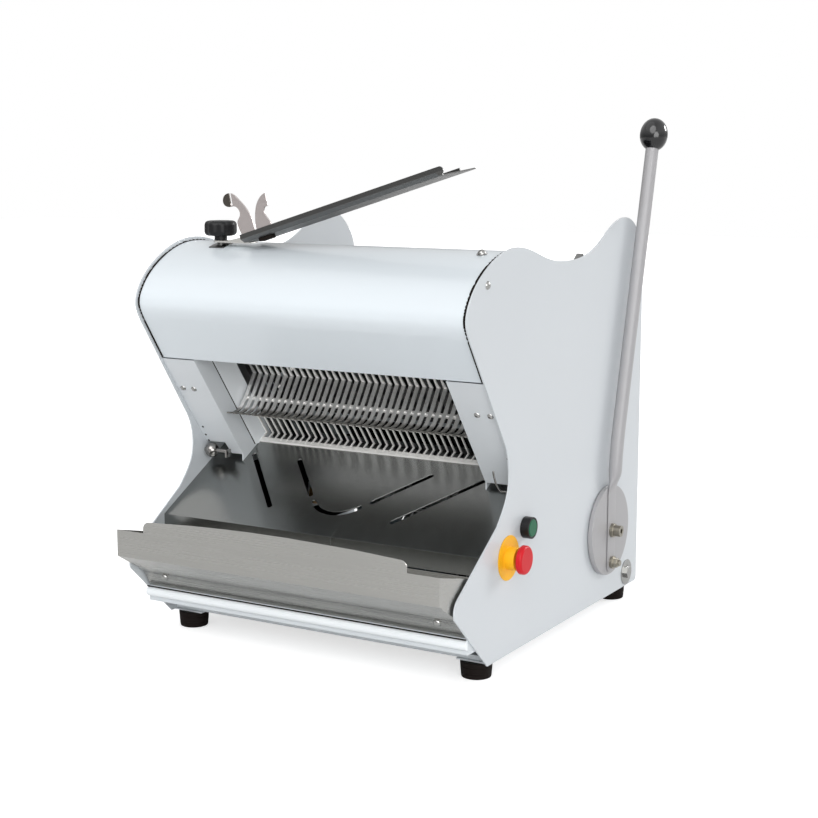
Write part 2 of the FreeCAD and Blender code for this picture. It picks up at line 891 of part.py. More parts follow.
def belt_loop(extra, x0, x1):
    """Solid shape of the belt's path round both pulleys, grown by extra."""
    centres = [(motor_y, motor_height), (crank_y, crank_height)]
    radii = [motor_pulley_radius - belt_thickness + extra, crank_pulley_radius - belt_thickness + extra]
    span = math.dist(*centres)
    heading = math.atan2(crank_height - motor_height, crank_y - motor_y)
    spread = math.acos((radii[0] - radii[1]) / span)
    corners = []
    for sign in (1, -1):
        angle = heading + sign * spread
        pair = []
        for (centre_y, centre_z), radius in zip(centres, radii):
            pair.append((centre_y + radius * math.cos(angle), centre_z + radius * math.sin(angle)))
        corners += pair if sign == 1 else pair[::-1]
    web = prism(corners, x0, x1)
    discs = [rod_x(cy, cz, radius, x0, x1) for (cy, cz), radius in zip(centres, radii)]
    return fuse([web] + discs)


def drive_belt():
    rim = 4.0
    x0 = pulley_x + rim + belt_clearance
    x1 = pulley_x + pulley_width - rim - belt_clearance
    outer = belt_loop(belt_clearance + belt_thickness, x0, x1)
    return outer.cut(belt_loop(belt_clearance, x0 - 1, x1 + 1))


def motor_body():
    """Motor casing with its foot and an end shield towards the pulley."""
    x1 = pulley_x - 12
    x0 = x1 - motor_length
    casing = rod_x(motor_y, motor_height, motor_radius, x0, x1)
    boss = rod_x(motor_y, motor_height, motor_radius * 0.45, x1, x1 + 6)
    low = motor_plate_top()
    half = motor_radius * 0.8
    foot = block(x0 + 30, x1 - 30, motor_y - half, motor_y + half, low, motor_height - motor_radius * 0.5)
    shell = fuse([casing, boss, foot])
    return shell.cut(rod_x(motor_y, motor_height, motor_shaft_radius + shaft_clearance, x0 + 20, x1 + 7))


def motor_plate_top():
    return motor_height - motor_radius - motor_foot


def motor_shaft():
    x1 = pulley_x - 12
    return rod_x(motor_y, motor_height, motor_shaft_radius, x1 - motor_length + 20, pulley_x + pulley_width)


def motor_plate():
    """Folded plate between the panels under the motor."""
    top = motor_plate_top()
    y0 = motor_y - motor_radius - 25
    y1 = motor_y + motor_radius + 25
    plate = block(-inner_x, inner_x, y0, y1, top - panel_sheet, top)
    lips = [
        block(-inner_x, inner_x, y0, y0 + panel_sheet, top - panel_sheet, top + motor_plate_lip),
        block(-inner_x, inner_x, y1 - panel_sheet, y1, top - panel_sheet, top + motor_plate_lip),
    ]
    return fuse([plate] + lips)


# ---- infeed ----
def arm_pin_travel(angle):
    """Travel of the arm pin when the feed arms stand at an angle, in degrees, from the blades."""
    shaft_travel, _ = untilted(feed_shaft_y, feed_shaft_height)
    return shaft_travel + arm_length * math.sin(math.radians(angle))


def arm_pin_rise(angle):
    _, shaft_rise = untilted(feed_shaft_y, feed_shaft_height)
    return shaft_rise + arm_length * math.cos(math.radians(angle))


def pusher_lug():
    """Travel range of the lug between the pusher plate and its carriage, at rest."""
    pin = arm_pin_travel(arm_rest_angle)
    return pin - carriage_half - 5, pin - 5


def infeed_trough():
    """U-shaped stainless trough with a slot in each wall for the pusher's lugs."""
    wall = shell_sheet
    floor = slab(trough_near, trough_far, -wall, 0, -jamb_x, jamb_x)
    corners = [
        (trough_near, 0), (trough_far, 0), (trough_far, trough_end_wall),
        (trough_far - trough_taper, trough_wall), (trough_near, trough_wall),
    ]
    side = prism([tilted(*corner) for corner in corners], opening_x, opening_x + guard_sheet)
    lug0, lug1 = pusher_lug()
    opening = slab(
        lug0 - feed_stroke - 3, lug1 + 3, lug_rise_low() - 2, lug_rise_high() + 2,
        opening_x - 1, opening_x + guard_sheet + 1,
    )
    side = side.cut(opening)
    return fuse([floor, side, mirrored(side)])


def lug_rise_low():
    return rail_rise + rail_radius + 7


def lug_rise_high():
    return lug_rise_low() + 20


def pusher():
    """Upright plate across the trough with a lug at each end."""
    lug0, lug1 = pusher_lug()
    gap = 4.0
    plate = slab(lug0, lug0 + pusher_sheet, gap, pusher_height, -opening_x + gap, opening_x - gap)
    lug = slab(lug0, lug1, lug_rise_low(), lug_rise_high(), opening_x - gap - 1, rail_x - 12)
    rib = slab(lug0, lug0 + 20, pusher_height * 0.7, pusher_height * 0.7 + 4, -opening_x + 30, opening_x - 30)
    return fuse([plate, lug, mirrored(lug), rib])


def pusher_carriages():
    """Blocks that run on the rails, each with a slotted yoke for the arm pin."""
    pin = arm_pin_travel(arm_rest_angle)
    low = rail_rise - rail_radius - 7
    body = slab(pin - carriage_half, pin + carriage_half, low, lug_rise_high(), rail_x - 12, rail_x + 12)
    half = arm_pin_radius + yoke_play
    slot_low = arm_pin_rise(arm_rest_angle) - arm_pin_radius - 3
    slot_high = arm_pin_rise(0) + arm_pin_radius + 1.5
    yoke = slab(
        pin - half - yoke_wall, pin + half + yoke_wall, lug_rise_low(), slot_high + yoke_bridge,
        rail_x + 12, arm_x - 4,
    )
    window = slab(pin - half, pin + half, slot_low, slot_high, rail_x + 11, arm_x)
    start = Vector(rail_x, *tilted(pin - carriage_half - 1, rail_rise))
    end = Vector(rail_x, *tilted(pin + carriage_half + 1, rail_rise))
    bore = rod(start, end, rail_radius + shaft_clearance)
    return both_sides(fuse([body, yoke]).cut([window, bore]))


def rail_ends():
    """Travel of both ends of the pusher rails."""
    lug0, _ = pusher_lug()
    near = arm_pin_travel(arm_rest_angle) - feed_stroke - carriage_half - 9
    far = arm_pin_travel(arm_rest_angle) + carriage_half + 11
    return near, far


def pusher_rails():
    near, far = rail_ends()
    start = Vector(rail_x, *tilted(near, rail_rise))
    end = Vector(rail_x, *tilted(far, rail_rise))
    return both_sides(rod(start, end, rail_radius))


def rail_blocks():
    """Blocks on the trough walls that hold the rails at both ends."""
    near, far = rail_ends()
    shapes = []
    for travel0, travel1 in ((near, near + 8), (far - 10, far)):
        outer = rail_x + rail_radius + 6
        holder = slab(travel0, travel1, rail_rise - 14, rail_rise + 14, jamb_x, outer)
        start = Vector(rail_x, *tilted(travel0 - 1, rail_rise))
        end = Vector(rail_x, *tilted(travel1 + 1, rail_rise))
        holder = holder.cut(rod(start, end, rail_radius))
        shapes += [holder, mirrored(holder)]
    return Part.makeCompound(shapes)


# ---- feed lever ----
def feed_shaft():
    return rod_x(feed_shaft_y, feed_shaft_height, feed_shaft_radius, -outer_x + 1, outer_x + 1)


def feed_bushes():
    """Bushes of the feed shaft in both panels."""
    outer = feed_shaft_radius + shaft_clearance + bearing_wall / 3
    inner = feed_shaft_radius + shaft_clearance
    right = rod_x(feed_shaft_y, feed_shaft_height, outer, inner_x - 8, outer_x)
    collar = rod_x(feed_shaft_y, feed_shaft_height, outer + 5, inner_x - 4, inner_x)
    right = fuse([right, collar]).cut(rod_x(feed_shaft_y, feed_shaft_height, inner, 0, outer_x + 1))
    return both_sides(right)


def feed_arms():
    """Two arms on the feed shaft, each with a pin that works in a carriage yoke."""
    shaft_travel, shaft_rise = untilted(feed_shaft_y, feed_shaft_height)
    pin = (arm_pin_travel(arm_rest_angle), arm_pin_rise(arm_rest_angle))
    x1 = arm_x + arm_thickness
    hub = rod_x(feed_shaft_y, feed_shaft_height, feed_shaft_radius + 10, arm_x, x1)
    beam = band([(feed_shaft_y, feed_shaft_height), tilted(*pin)], arm_width, arm_x, x1)
    pin_y, pin_z = tilted(*pin)
    end = rod_x(pin_y, pin_z, arm_width / 2, arm_x, x1)
    stud = rod_x(pin_y, pin_z, arm_pin_radius, rail_x + 14, arm_x + 1)
    bore = rod_x(feed_shaft_y, feed_shaft_height, feed_shaft_radius, arm_x - 1, x1 + 1)
    return both_sides(fuse([hub, beam, end, stud]).cut(bore))


def lever_disc():
    x0 = outer_x + 1
    return rod_x(feed_shaft_y, feed_shaft_height, lever_disc_radius, x0, x0 + lever_disc_thickness)


def lever_face_x():
    """Outer face of the disc, on which the lever's flattened end lies."""
    return outer_x + 1 + lever_disc_thickness


def lever_bend():
    """Y and Z of the point where the tube starts to lean back."""
    return feed_shaft_y + lever_bend_back, feed_shaft_height + lever_bend_up


def lever_top():
    """Y and Z of the tube's upper end, where the knob sits."""
    return feed_shaft_y + lever_top_back, feed_shaft_height + lever_top_up


def lever():
    """Flattened lower end on the disc, running up into a tube that leans back."""
    centre_x = outer_x + lever_tube_x
    x0 = lever_face_x()
    x1 = x0 + lever_flat_thickness
    half = lever_flat_width / 2
    flat_low = feed_shaft_height - lever_disc_radius + half + 4
    flat_high = feed_shaft_height + lever_disc_radius
    flat = fuse([
        block(x0, x1, feed_shaft_y - half, feed_shaft_y + half, flat_low, flat_high),
        rod_x(feed_shaft_y, flat_low, half, x0, x1),
        rod_x(feed_shaft_y, flat_high, half, x0, x1),
    ])
    bend = Vector(centre_x, *lever_bend())
    foot = Vector(centre_x, feed_shaft_y, flat_high + 5)
    top = Vector(centre_x, *lever_top())
    tube = fuse([
        rod(foot, bend, lever_tube_radius),
        Part.makeSphere(lever_tube_radius, bend),
        rod(bend, top, lever_tube_radius),
    ])
    return fuse([flat, tube])


def lever_knob():
    """Egg-shaped grip on the top of the lever, turned about the tube's axis."""
    tip = knob_radius * 0.12
    shares = [(0.5, 0), (0.87, 0.19), (1, 0.45), (0.9, 0.7), (0.6, 0.9), (0.36, 0.97)]
    side = [Vector(knob_radius * across, 0, knob_length * along) for across, along in shares]
    side.append(Vector(tip, 0, knob_length))
    curve = Part.BSplineCurve()
    curve.interpolate(side)
    profile = Part.Wire([
        Part.makeLine(Vector(0, 0, 0), side[0]),
        curve.toShape(),
        Part.makeLine(side[-1], Vector(0, 0, knob_length)),
        Part.makeLine(Vector(0, 0, knob_length), Vector(0, 0, 0)),
    ])
    knob = Part.Face(profile).revolve(Vector(0, 0, 0), Vector(0, 0, 1), 360)
    bend_y, bend_z = lever_bend()
    top_y, top_z = lever_top()
    lean = math.atan2(top_y - bend_y, top_z - bend_z)
    knob.rotate(Vector(0, 0, 0), Vector(1, 0, 0), -math.degrees(lean))
    knob.translate(Vector(outer_x + lever_tube_x, top_y, top_z))
    return knob


def hex_head(y, z, radius, x0, x1):
    corners = [
        (y + radius * math.cos(math.radians(60 * n)), z + radius * math.sin(math.radians(60 * n)))
        for n in range(6)
    ]
    return prism(corners, x0, x1)


def lever_bolts():
    """Hub bolt and lower bolt that hold the lever on its disc."""
    x0 = lever_face_x() + lever_flat_thickness
    face = x0 + lever_washer
    hub_end = face + hub_bolt_length
    hub_z, low_z = feed_shaft_height, feed_shaft_height - lever_bolt_drop
    hub = fuse([
        rod_x(feed_shaft_y, hub_z, hub_bolt_radius + lever_washer, x0, face),
        rod_x(feed_shaft_y, hub_z, hub_bolt_radius, face, hub_end),
    ])
    socket = hex_head(feed_shaft_y, hub_z, hub_bolt_radius / 2, hub_end - hub_bolt_radius / 2, hub_end + 1)
    low = fuse([
        rod_x(feed_shaft_y, low_z, lower_bolt_radius + lever_washer, x0, face),
        hex_head(feed_shaft_y, low_z, lower_bolt_radius, face, face + lower_bolt_radius * 0.8),
        rod_x(feed_shaft_y, low_z, lower_bolt_radius * 0.6, face, face + lower_bolt_radius * 1.3),
    ])
    return Part.makeCompound([hub.cut(socket), low])


# ---- controls ----
def control_box():
    """Box behind both buttons, with its top cut away below the table."""
    x1 = inner_x - barrel_depth
    y0, y1 = stop_y - box_margin, start_y + box_margin
    z0, z1 = stop_height - box_margin, start_height + box_margin
    cut_z = table_height(y0) - box_clearance
    cut_y = y0 + (z1 - cut_z) / math.tan(slope)
    return prism([(y0, z0), (y1, z0), (y1, z1), (cut_y, z1), (y0, cut_z)], x1 - box_depth, x1)


def start_bezel():
    """Barrel with a deep black ring, in which the start button's cap sits."""
    x0 = inner_x - barrel_depth
    tube = rod_x(start_y, start_height, barrel_radius, x0, outer_x)
    ring = rod_x(start_y, start_height, bezel_radius, outer_x, outer_x + bezel_height)
    bore = rod_x(start_y, start_height, barrel_radius - barrel_wall, x0 - 1, outer_x + bezel_height + 1)
    floor = cap_back_x() - button_travel - 0.5
    seat = rod_x(start_y, start_height, cap_radius + rest_gap, floor, outer_x + bezel_height + 1)
    return fuse([tube, ring]).cut([bore, seat])


def cap_back_x():
    """Back of the start button's cap at rest, where its face stands just proud of the ring."""
    return outer_x + bezel_height + 0.5 - cap_thickness


def button_inner_x():
    """Inner end of both buttons' shanks at rest."""
    return inner_x - barrel_depth + button_travel + 4


def start_button():
    radius = barrel_radius - barrel_wall - rest_gap
    back = cap_back_x()
    end = back + cap_thickness
    shank = rod_x(start_y, start_height, radius, button_inner_x(), back + 1)
    button = fuse([shank, rod_x(start_y, start_height, cap_radius, back, end)])
    rim = [edge for edge in button.Edges if edge.CenterOfMass.x > end - 1 and edge.Length > radius]
    return button.makeFillet(1.5, rim)


def stop_collar():
    """Round back plate, barrel and collar of the emergency stop, in one moulding."""
    x0 = inner_x - barrel_depth
    plate = rod_x(stop_y, stop_height, stop_plate_radius, outer_x, outer_x + stop_plate_sheet)
    tube = rod_x(stop_y, stop_height, barrel_radius, x0, outer_x + stop_plate_sheet)
    radius = barrel_radius + stop_collar_rim
    flange = rod_x(stop_y, stop_height, radius, outer_x, outer_x + stop_collar_height)
    bore = rod_x(stop_y, stop_height, stem_radius + rest_gap, x0 - 1, outer_x + stop_collar_height + 1)
    return fuse([plate, tube, flange]).cut(bore)


def stop_head_x():
    """Back of the mushroom head at rest."""
    return outer_x + stop_collar_height + button_travel + 1


def stop_stem():
    return rod_x(stop_y, stop_height, stem_radius, button_inner_x(), stop_head_x())


def stop_mushroom():
    """Mushroom head, which turns on its stem to let it go."""
    x0 = stop_head_x() + rest_gap
    head = rod_x(stop_y, stop_height, mushroom_radius, x0, x0 + mushroom_height)
    rim = [
        edge for edge in head.Edges
        if edge.CenterOfMass.x > x0 + mushroom_height - 1 and edge.Length > mushroom_radius
    ]
    return head.makeFillet(4.0, rim)


# ---- bag scoop on the hood ----
def scoop_seat():
    """Height of the swivel's underside, just clear of the hood's crest."""
    return crest_height - hood_inset + 1.0


def hood_layer(low, high, x0, x1):
    """Solid between two curves that both run like the hood's."""

    def at(point):
        return Vector(x0, point[0], point[1])

    edges = [
        spline(low, x0).toShape(),
        Part.makeLine(at(low[-1]), at(high[-1])),
        spline(high, x0).toShape(),
        Part.makeLine(at(high[0]), at(low[0])),
    ]
    return Part.Face(Part.Wire(Part.sortEdges(edges)[0])).extrude(Vector(x1 - x0, 0, 0))


def scoop_base():
    """Clamp plate that follows the hood's curve, with the post of the swivel."""
    plate_sheet = 1.5
    reach_x, front, back = 15.0, 14.0, 14.0
    x0, x1 = scoop_pivot_x - reach_x, scoop_pivot_x + reach_x
    paint_gap = 0.2
    surface = hood_curve(hood_inset - paint_gap)
    high = crest_height + clamp_height
    keep = block(x0, x1, scoop_pivot_y - front, scoop_pivot_y + back, hood_bottom, high)
    plate = hood_layer(surface, hood_curve(hood_inset - paint_gap - plate_sheet), x0, x1).common(keep)
    above = hood_layer(surface, [(y, z + clamp_height * 2) for y, z in surface], x0, x1)
    low = crest_height - 2 * hood_inset
    high = scoop_seat() + arm_height + clamp_hub + clamp_height / 3
    post = Part.makeCylinder(post_radius, high - low, Vector(scoop_pivot_x, scoop_pivot_y, low))
    return fuse([plate, post.common(above)])


def scoop_placed(shape):
    """Moves a shape from the scoop's own frame, X along its floor and Z square to it, into place."""
    slant = math.radians(scoop_angle)
    shape.rotate(Vector(0, 0, 0), Vector(0, 1, 0), -scoop_angle)
    start = Vector(scoop_start * math.cos(slant), 0, scoop_lift)
    shape.translate(Vector(scoop_pivot_x, scoop_pivot_y, scoop_seat()) + start)
    return shape


def scoop_hinge():
    """Ring on the post, with a flanged arm whose end is bent up along the scoop's floor."""
    z0 = scoop_seat()
    half = hinge_half
    arm_end = scoop_pivot_x + scoop_start * math.cos(math.radians(scoop_angle)) - 0.6
    ring = Part.makeCylinder(half, arm_height, Vector(scoop_pivot_x, scoop_pivot_y, z0))
    arm = block(scoop_pivot_x, arm_end, scoop_pivot_y - half, scoop_pivot_y + half, z0, z0 + arm_height)
    reach = arm_end - scoop_pivot_x
    rise = [
        (half + 1, 0), (reach, 0), (reach, arm_flange),
        (reach - arm_flange_top, arm_flange), (half + arm_flange_start, arm_height),
    ]
    corners = [Vector(scoop_pivot_x + dx, scoop_pivot_y - half, z0 + dz) for dx, dz in rise + rise[:1]]
    flange = Part.Face(Part.makePolygon(corners)).extrude(Vector(0, arm_height, 0))
    tab = scoop_placed(block(-3, 24, -half, half, shell_sheet, shell_sheet + 4))
    below = Vector(scoop_pivot_x, scoop_pivot_y, z0 - 1)
    bore = Part.makeCylinder(post_radius + rest_gap, arm_height + 2, below)
    return fuse([ring, arm, flange, tab]).cut(bore)


def scoop():
    """Long chute, open at both ends, that leans up to the right and ends in a tapered tongue."""
    wall = shell_sheet
    half = scoop_width / 2
    floor = half - scoop_chamfer
    far_wall = scoop_wall * 0.8
    bevel = wall * 0.4
    outside = [
        (-half, scoop_wall), (-half, scoop_fold), (-floor, 0),
        (floor, 0), (half, scoop_fold), (half, far_wall),
    ]
    inside = [
        (half - wall, far_wall), (half - wall, scoop_fold + bevel), (floor - bevel, wall),
        (bevel - floor, wall), (wall - half, scoop_fold + bevel), (wall - half, scoop_wall),
    ]
    chute = prism(outside + inside, 0, scoop_length)
    lip = Part.makeCylinder(
        scoop_wall / 2, wall, Vector(scoop_length, -half, scoop_wall / 2), Vector(0, 1, 0),
    )
    tongue_end = scoop_length + scoop_tongue
    corners = [
        Vector(scoop_length - 1, -floor, 0), Vector(scoop_length - 1, floor, 0),
        Vector(tongue_end, floor, 0), Vector(tongue_end, floor - 6, 0),
    ]
    tongue = Part.Face(Part.makePolygon(corners + corners[:1])).extrude(Vector(0, 0, wall))
    return scoop_placed(fuse([chute, lip, tongue]))


def horn(edges):
    """Flat plate against the inner face of the scoop's near wall; edges run in X and Z from the pivot."""
    y = scoop_pivot_y - scoop_width / 2 + shell_sheet
    wires = []
    for points in edges:
        places = [Vector(scoop_pivot_x + horn_shift + dx, y, scoop_seat() + dz) for dx, dz in points]
        if len(places) == 2:
            wires.append(Part.makeLine(*places))
        else:
            curve = Part.BSplineCurve()
            curve.interpolate(places)
            wires.append(curve.toShape())
    return Part.Face(Part.Wire(wires)).extrude(Vector(0, horn_sheet, 0))


def scoop_horns():
    """Pair of curved horns that hold a bag's mouth open over the scoop; the left one's tip is slit."""
    left_outer = [(97, 21), (89.6, 45), (78.7, 60.4), (64.6, 73.4), (49.4, 82.3), (38, 79.5), (33.7, 70)]
    left_inner = [(33.7, 70), (38, 62), (46.8, 59.9), (57, 61), (65, 56), (67.6, 47), (63, 38), (67, 22), (72, 13)]
    left = horn([left_outer, left_inner, [(72, 13), (97, 21)]])
    slit_start, slit_end = (45.5, 84), (50, 63)
    slit = prism_xz([
        slit_start, (slit_start[0] + horn_slit, slit_start[1]), (slit_end[0] + horn_slit, slit_end[1]), slit_end,
    ])
    right_outer = [(101, 22), (98, 50), (104.3, 72.4), (117.6, 84.4)]
    right_notch = [(117.8, 62), (115.6, 54.6), (118.9, 48.1), (128.4, 36)]
    right = horn([
        right_outer, [(117.6, 84.4), (123.2, 63.7)], [(123.2, 63.7), (117.8, 62)],
        right_notch, [(128.4, 36), (129, 30.4)], [(129, 30.4), (101, 22)],
    ])
    return Part.makeCompound([left.cut(slit), right])


def prism_xz(points):
    """Cutter through the horns, outlined in X and Z from the scoop's pivot."""
    y = scoop_pivot_y - scoop_width
    places = [Vector(scoop_pivot_x + horn_shift + dx, y, scoop_seat() + dz) for dx, dz in points]
    return Part.Face(Part.makePolygon(places + places[:1])).extrude(Vector(0, 2 * scoop_width, 0))


def scoop_bumper():
    """Rubber pad under the scoop's floor."""
    floor = scoop_width / 2 - scoop_chamfer
    return scoop_placed(block(28, 53, -floor, -floor + 16, -6, 0))


def clamp_knob():
    """Lobed clamp knob on the post."""
    z0 = scoop_seat() + arm_height + rest_gap
    lobe_radius = 8.0
    ring_radius = clamp_radius - lobe_radius

    def upright(radius, dx, dy, low, height):
        return Part.makeCylinder(radius, height, Vector(scoop_pivot_x + dx, scoop_pivot_y + dy, z0 + low))

    shapes = [
        upright(10.5, 0, 0, 0, clamp_hub),
        upright(clamp_radius - 3, 0, 0, clamp_hub, clamp_height),
    ]
    for n in range(8):
        angle = math.radians(45 * n)
        shapes.append(
            upright(
                lobe_radius, ring_radius * math.cos(angle), ring_radius * math.sin(angle),
                clamp_hub, clamp_height,
            )
        )
    bore = upright(post_radius + shaft_clearance, 0, 0, -1, clamp_hub + clamp_height / 2)
    return fuse(shapes).cut(bore)


# ---- base ----
def feet():
    shapes = []
    for x in (-foot_x, foot_x):
        for y in (foot_front_y, foot_rear_y):
            shapes.append(Part.makeCone(foot_radius - 2, foot_radius, panel_bottom, Vector(x, y, 0)))
    return Part.makeCompound(shapes)


def crossbars():
    """Straight bars between the panels: under the tray, the crankshaft and the trough, and at the base."""
    low = panel_bottom + panel_sheet
    shelf_y = tray_front_y + tray_knee_depth
    bars = [
        (shelf_y, shelf_y + shelf_depth, tray_bottom_height - shelf_height, tray_bottom_height),
        (crank_y - beam_depth / 2, crank_y + beam_depth / 2, beam_top - beam_height, beam_top),
    ]
    for y in (foot_front_y, middle_bar_y, foot_rear_y):
        bars.append((y - base_bar / 2, y + base_bar / 2, low, low + base_bar_height))
    shapes = [block(-inner_x, inner_x, *bar) for bar in bars]
    guide_reach = frame_far + guide_wall
    for travel in (guide_reach + 1, trough_far - 2 * trough_bar):
        shapes.append(slab(travel, travel + trough_bar, -shell_sheet - trough_bar, -shell_sheet, -inner_x, inner_x))
    return Part.makeCompound(shapes)


def rear_cover_y():
    return panel_depth - corner_radius


def rear_cover():
    """Sheet that closes the back below the infeed, above the crumb tray's mouth."""
    low = panel_bottom + panel_sheet + drawer_mouth
    high = ear_height - ear_overlap
    sheet = block(-inner_x, inner_x, rear_cover_y(), rear_cover_y() + shell_sheet, low, high)
    start = Vector(cable_x, rear_cover_y() - 1, cable_height)
    return sheet.cut(Part.makeCylinder(gland_radius + rest_gap, shell_sheet + 2, start, Vector(0, 1, 0)))


def crumb_tray():
    """Shallow tray on the base bars that pulls out at the back, with a lip to pull on."""
    y1 = panel_depth - 4
    low = panel_bottom + panel_sheet + base_bar_height + rest_gap
    top = low + crumb_tray_height
    wall = shell_sheet
    x = crumb_tray_x
    outside = block(-x, x, crumb_tray_y, y1, low, top)
    hollow = block(wall - x, x - wall, crumb_tray_y + wall, y1 - wall, low + wall, top + 1)
    lip = block(-x / 2, x / 2, y1 - wall, y1, top, top + 24)
    return fuse([outside.cut(hollow), lip])


def cable_gland():
    """Cable entry through the rear cover: a threaded stem with a hexagon outside and a nut inside."""
    outside = rear_cover_y() + shell_sheet
    start = outside - gland_length / 2
    back = Vector(0, 1, 0)

    def hexagon(y):
        corners = [
            Vector(
                cable_x + 1.6 * gland_radius * math.cos(math.radians(60 * n)), y,
                cable_height + 1.6 * gland_radius * math.sin(math.radians(60 * n)),
            )
            for n in range(6)
        ]
        return Part.Face(Part.makePolygon(corners + corners[:1])).extrude(back * gland_nut)

    stem = Part.makeCylinder(gland_radius, gland_length, Vector(cable_x, start, cable_height), back)
    nuts = [hexagon(outside), hexagon(outside - shell_sheet - gland_nut)]
    bore = Part.makeCylinder(cable_radius, gland_length + 2, Vector(cable_x, start - 1, cable_height), back)
    return fuse([stem] + nuts).cut(bore)


# ---- fasteners and wire catches ----
def dome(place, axis, radius, height):
    """Domed screw head standing on a surface."""
    ball = (radius ** 2 + height ** 2) / (2 * height)
    centre = place - axis * (ball - height)
    low = math.degrees(math.asin((ball - height) / ball))
    return Part.makeSphere(ball, centre, axis, low, 90, 360)


def cap_nut():
    """Cap nut with its washer, standing square on the hood."""
    curve = spline(hood_curve(hood_inset), cap_nut_x)
    nearest = curve.parameter(Vector(cap_nut_x, scoop_pivot_y, crest_height))
    place = curve.value(nearest)
    along = curve.tangent(nearest)[0]
    square = Vector(0, -along.z, along.y)
    if square.z < 0:
        square = square * -1
    washer = rod(place, place + square * 1.5, 8.5)
    return fuse([washer, dome(place + square * 1.5, square, 7.0, 6.5)])


def tray_dome(x):
    """Domed screw near the lower edge of the tray's sloping front."""
    high, low = [Vector(x, y, z) for y, z in tray_profile(0)[2:4]]
    slope_down = (low - high).normalize()
    square = slope_down.cross(Vector(1, 0, 0))
    if square.y > 0:
        square = square * -1
    return dome(high + (low - high) * 0.3, square, dome_radius, dome_height)


def fasteners():
    """Screw heads on the panels, guards and tray, and the cap nut on the hood."""
    out = Vector(1, 0, 0)
    shapes = [cap_nut()]
    square = Vector(0, -math.cos(tilt), -math.sin(tilt))
    bolt_y, bolt_z = crest_y - hood_bolt_front, crest_height - hood_bolt_drop
    for side in (-1, 1):
        shapes.append(dome(Vector(side * outer_x, bolt_y, bolt_z), out * side, dome_radius, dome_height))
        for inset in (guard_screw_inset, guard_screw_inset + guard_screw_pitch):
            place = Vector(side * (inner_x - inset), guard_plane(guard_screw_height), guard_screw_height)
            shapes.append(dome(place, square, screw_radius, screw_height))
        shapes.append(tray_dome(side * tray_screw_x))
    y, z = panel_depth - corner_bolt_inset, panel_bottom + corner_bolt_rise
    face = outer_x + shell_sheet
    washer = rod_x(y, z, corner_washer_radius, outer_x, face)
    shapes.append(fuse([washer, hex_head(y, z, bolt_radius, face, face + dome_radius)]))
    return Part.makeCompound(shapes)


def wire_run(points, radius):
    """Bent wire through a few points."""
    places = [Vector(*point) for point in points]
    shapes = [rod(start, end, radius) for start, end in zip(places, places[1:])]
    shapes += [Part.makeSphere(radius, place) for place in places[1:]]
    return fuse(shapes)


def wire_hooks():
    """Wire catch on the right panel beside the outfeed opening, and the catch knob on the left one."""
    x = inner_x - wire_inset
    points = [(inner_x, wire_y, wire_height)]
    for forward, up in ((0, 0), (8, 6), (18, 16), (24, 28), (27, 36)):
        points.append((x, wire_y - forward, wire_height + up))
    ball = Part.makeSphere(catch_radius, Vector(catch_x, catch_y, catch_z))
    stem = rod_x(catch_y, catch_z, catch_stem, -inner_x, catch_x + catch_reach)
    foot = block(
        catch_x + catch_reach - catch_foot / 3, catch_x + catch_reach, catch_y - catch_foot, catch_y + catch_foot / 2,
        catch_z - catch_foot, catch_z + catch_foot / 2,
    )
    return Part.makeCompound([wire_run(points, wire_radius), fuse([ball, stem, foot])])


PIECES = {
    "side_panel_left": side_panel_left,
    "side_panel_right": side_panel_right,
    "hood": hood,
    "blade_shroud": blade_shroud,
    "guard_left": guard_left,
    "guard_right": guard_right,
    "outfeed_table": outfeed_table,
    "outfeed_comb": outfeed_comb,
    "front_tray": front_tray,
    "front_rail": front_rail,
    "blade_frame_front": lambda: blade_frame(-1),
    "blade_frame_rear": lambda: blade_frame(1),
    "blades_front": lambda: blades(-1),
    "blades_rear": lambda: blades(1),
    "guide_blocks": guide_blocks,
    "hold_down_comb": hold_down_comb,
    "hold_down_shaft": hold_down_shaft,
    "crankshaft": crankshaft,
    "con_rod_front": lambda: con_rod(-1),
    "con_rod_rear": lambda: con_rod(1),
    "wrist_pin_front": lambda: wrist_pin(-1),
    "wrist_pin_rear": lambda: wrist_pin(1),
    "crank_bearings": crank_bearings,
    "crank_pulley": crank_pulley,
    "motor_pulley": motor_pulley,
    "drive_belt": drive_belt,
    "motor_body": motor_body,
    "motor_shaft": motor_shaft,
    "motor_plate": motor_plate,
    "infeed_trough": infeed_trough,
    "pusher": pusher,
    "pusher_carriages": pusher_carriages,
    "pusher_rails": pusher_rails,
    "rail_blocks": rail_blocks,
    "feed_shaft": feed_shaft,
    "feed_bushes": feed_bushes,
    "feed_arms": feed_arms,
    "lever_disc": lever_disc,
    "lever": lever,
    "lever_knob": lever_knob,
    "lever_bolts": lever_bolts,
    "control_box": control_box,
    "start_bezel": start_bezel,
    "start_button": start_button,
    "stop_collar": stop_collar,
    "stop_stem": stop_stem,
    "stop_mushroom": stop_mushroom,
    "scoop_base": scoop_base,
    "scoop_hinge": scoop_hinge,
    "scoop": scoop,
    "scoop_horns": scoop_horns,
    "scoop_bumper": scoop_bumper,
    "clamp_knob": clamp_knob,
    "feet": feet,
    "crossbars": crossbars,
    "rear_cover": rear_cover,
    "crumb_tray": crumb_tray,
    "cable_gland": cable_gland,
    "fasteners": fasteners,
    "wire_hooks": wire_hooks,
}


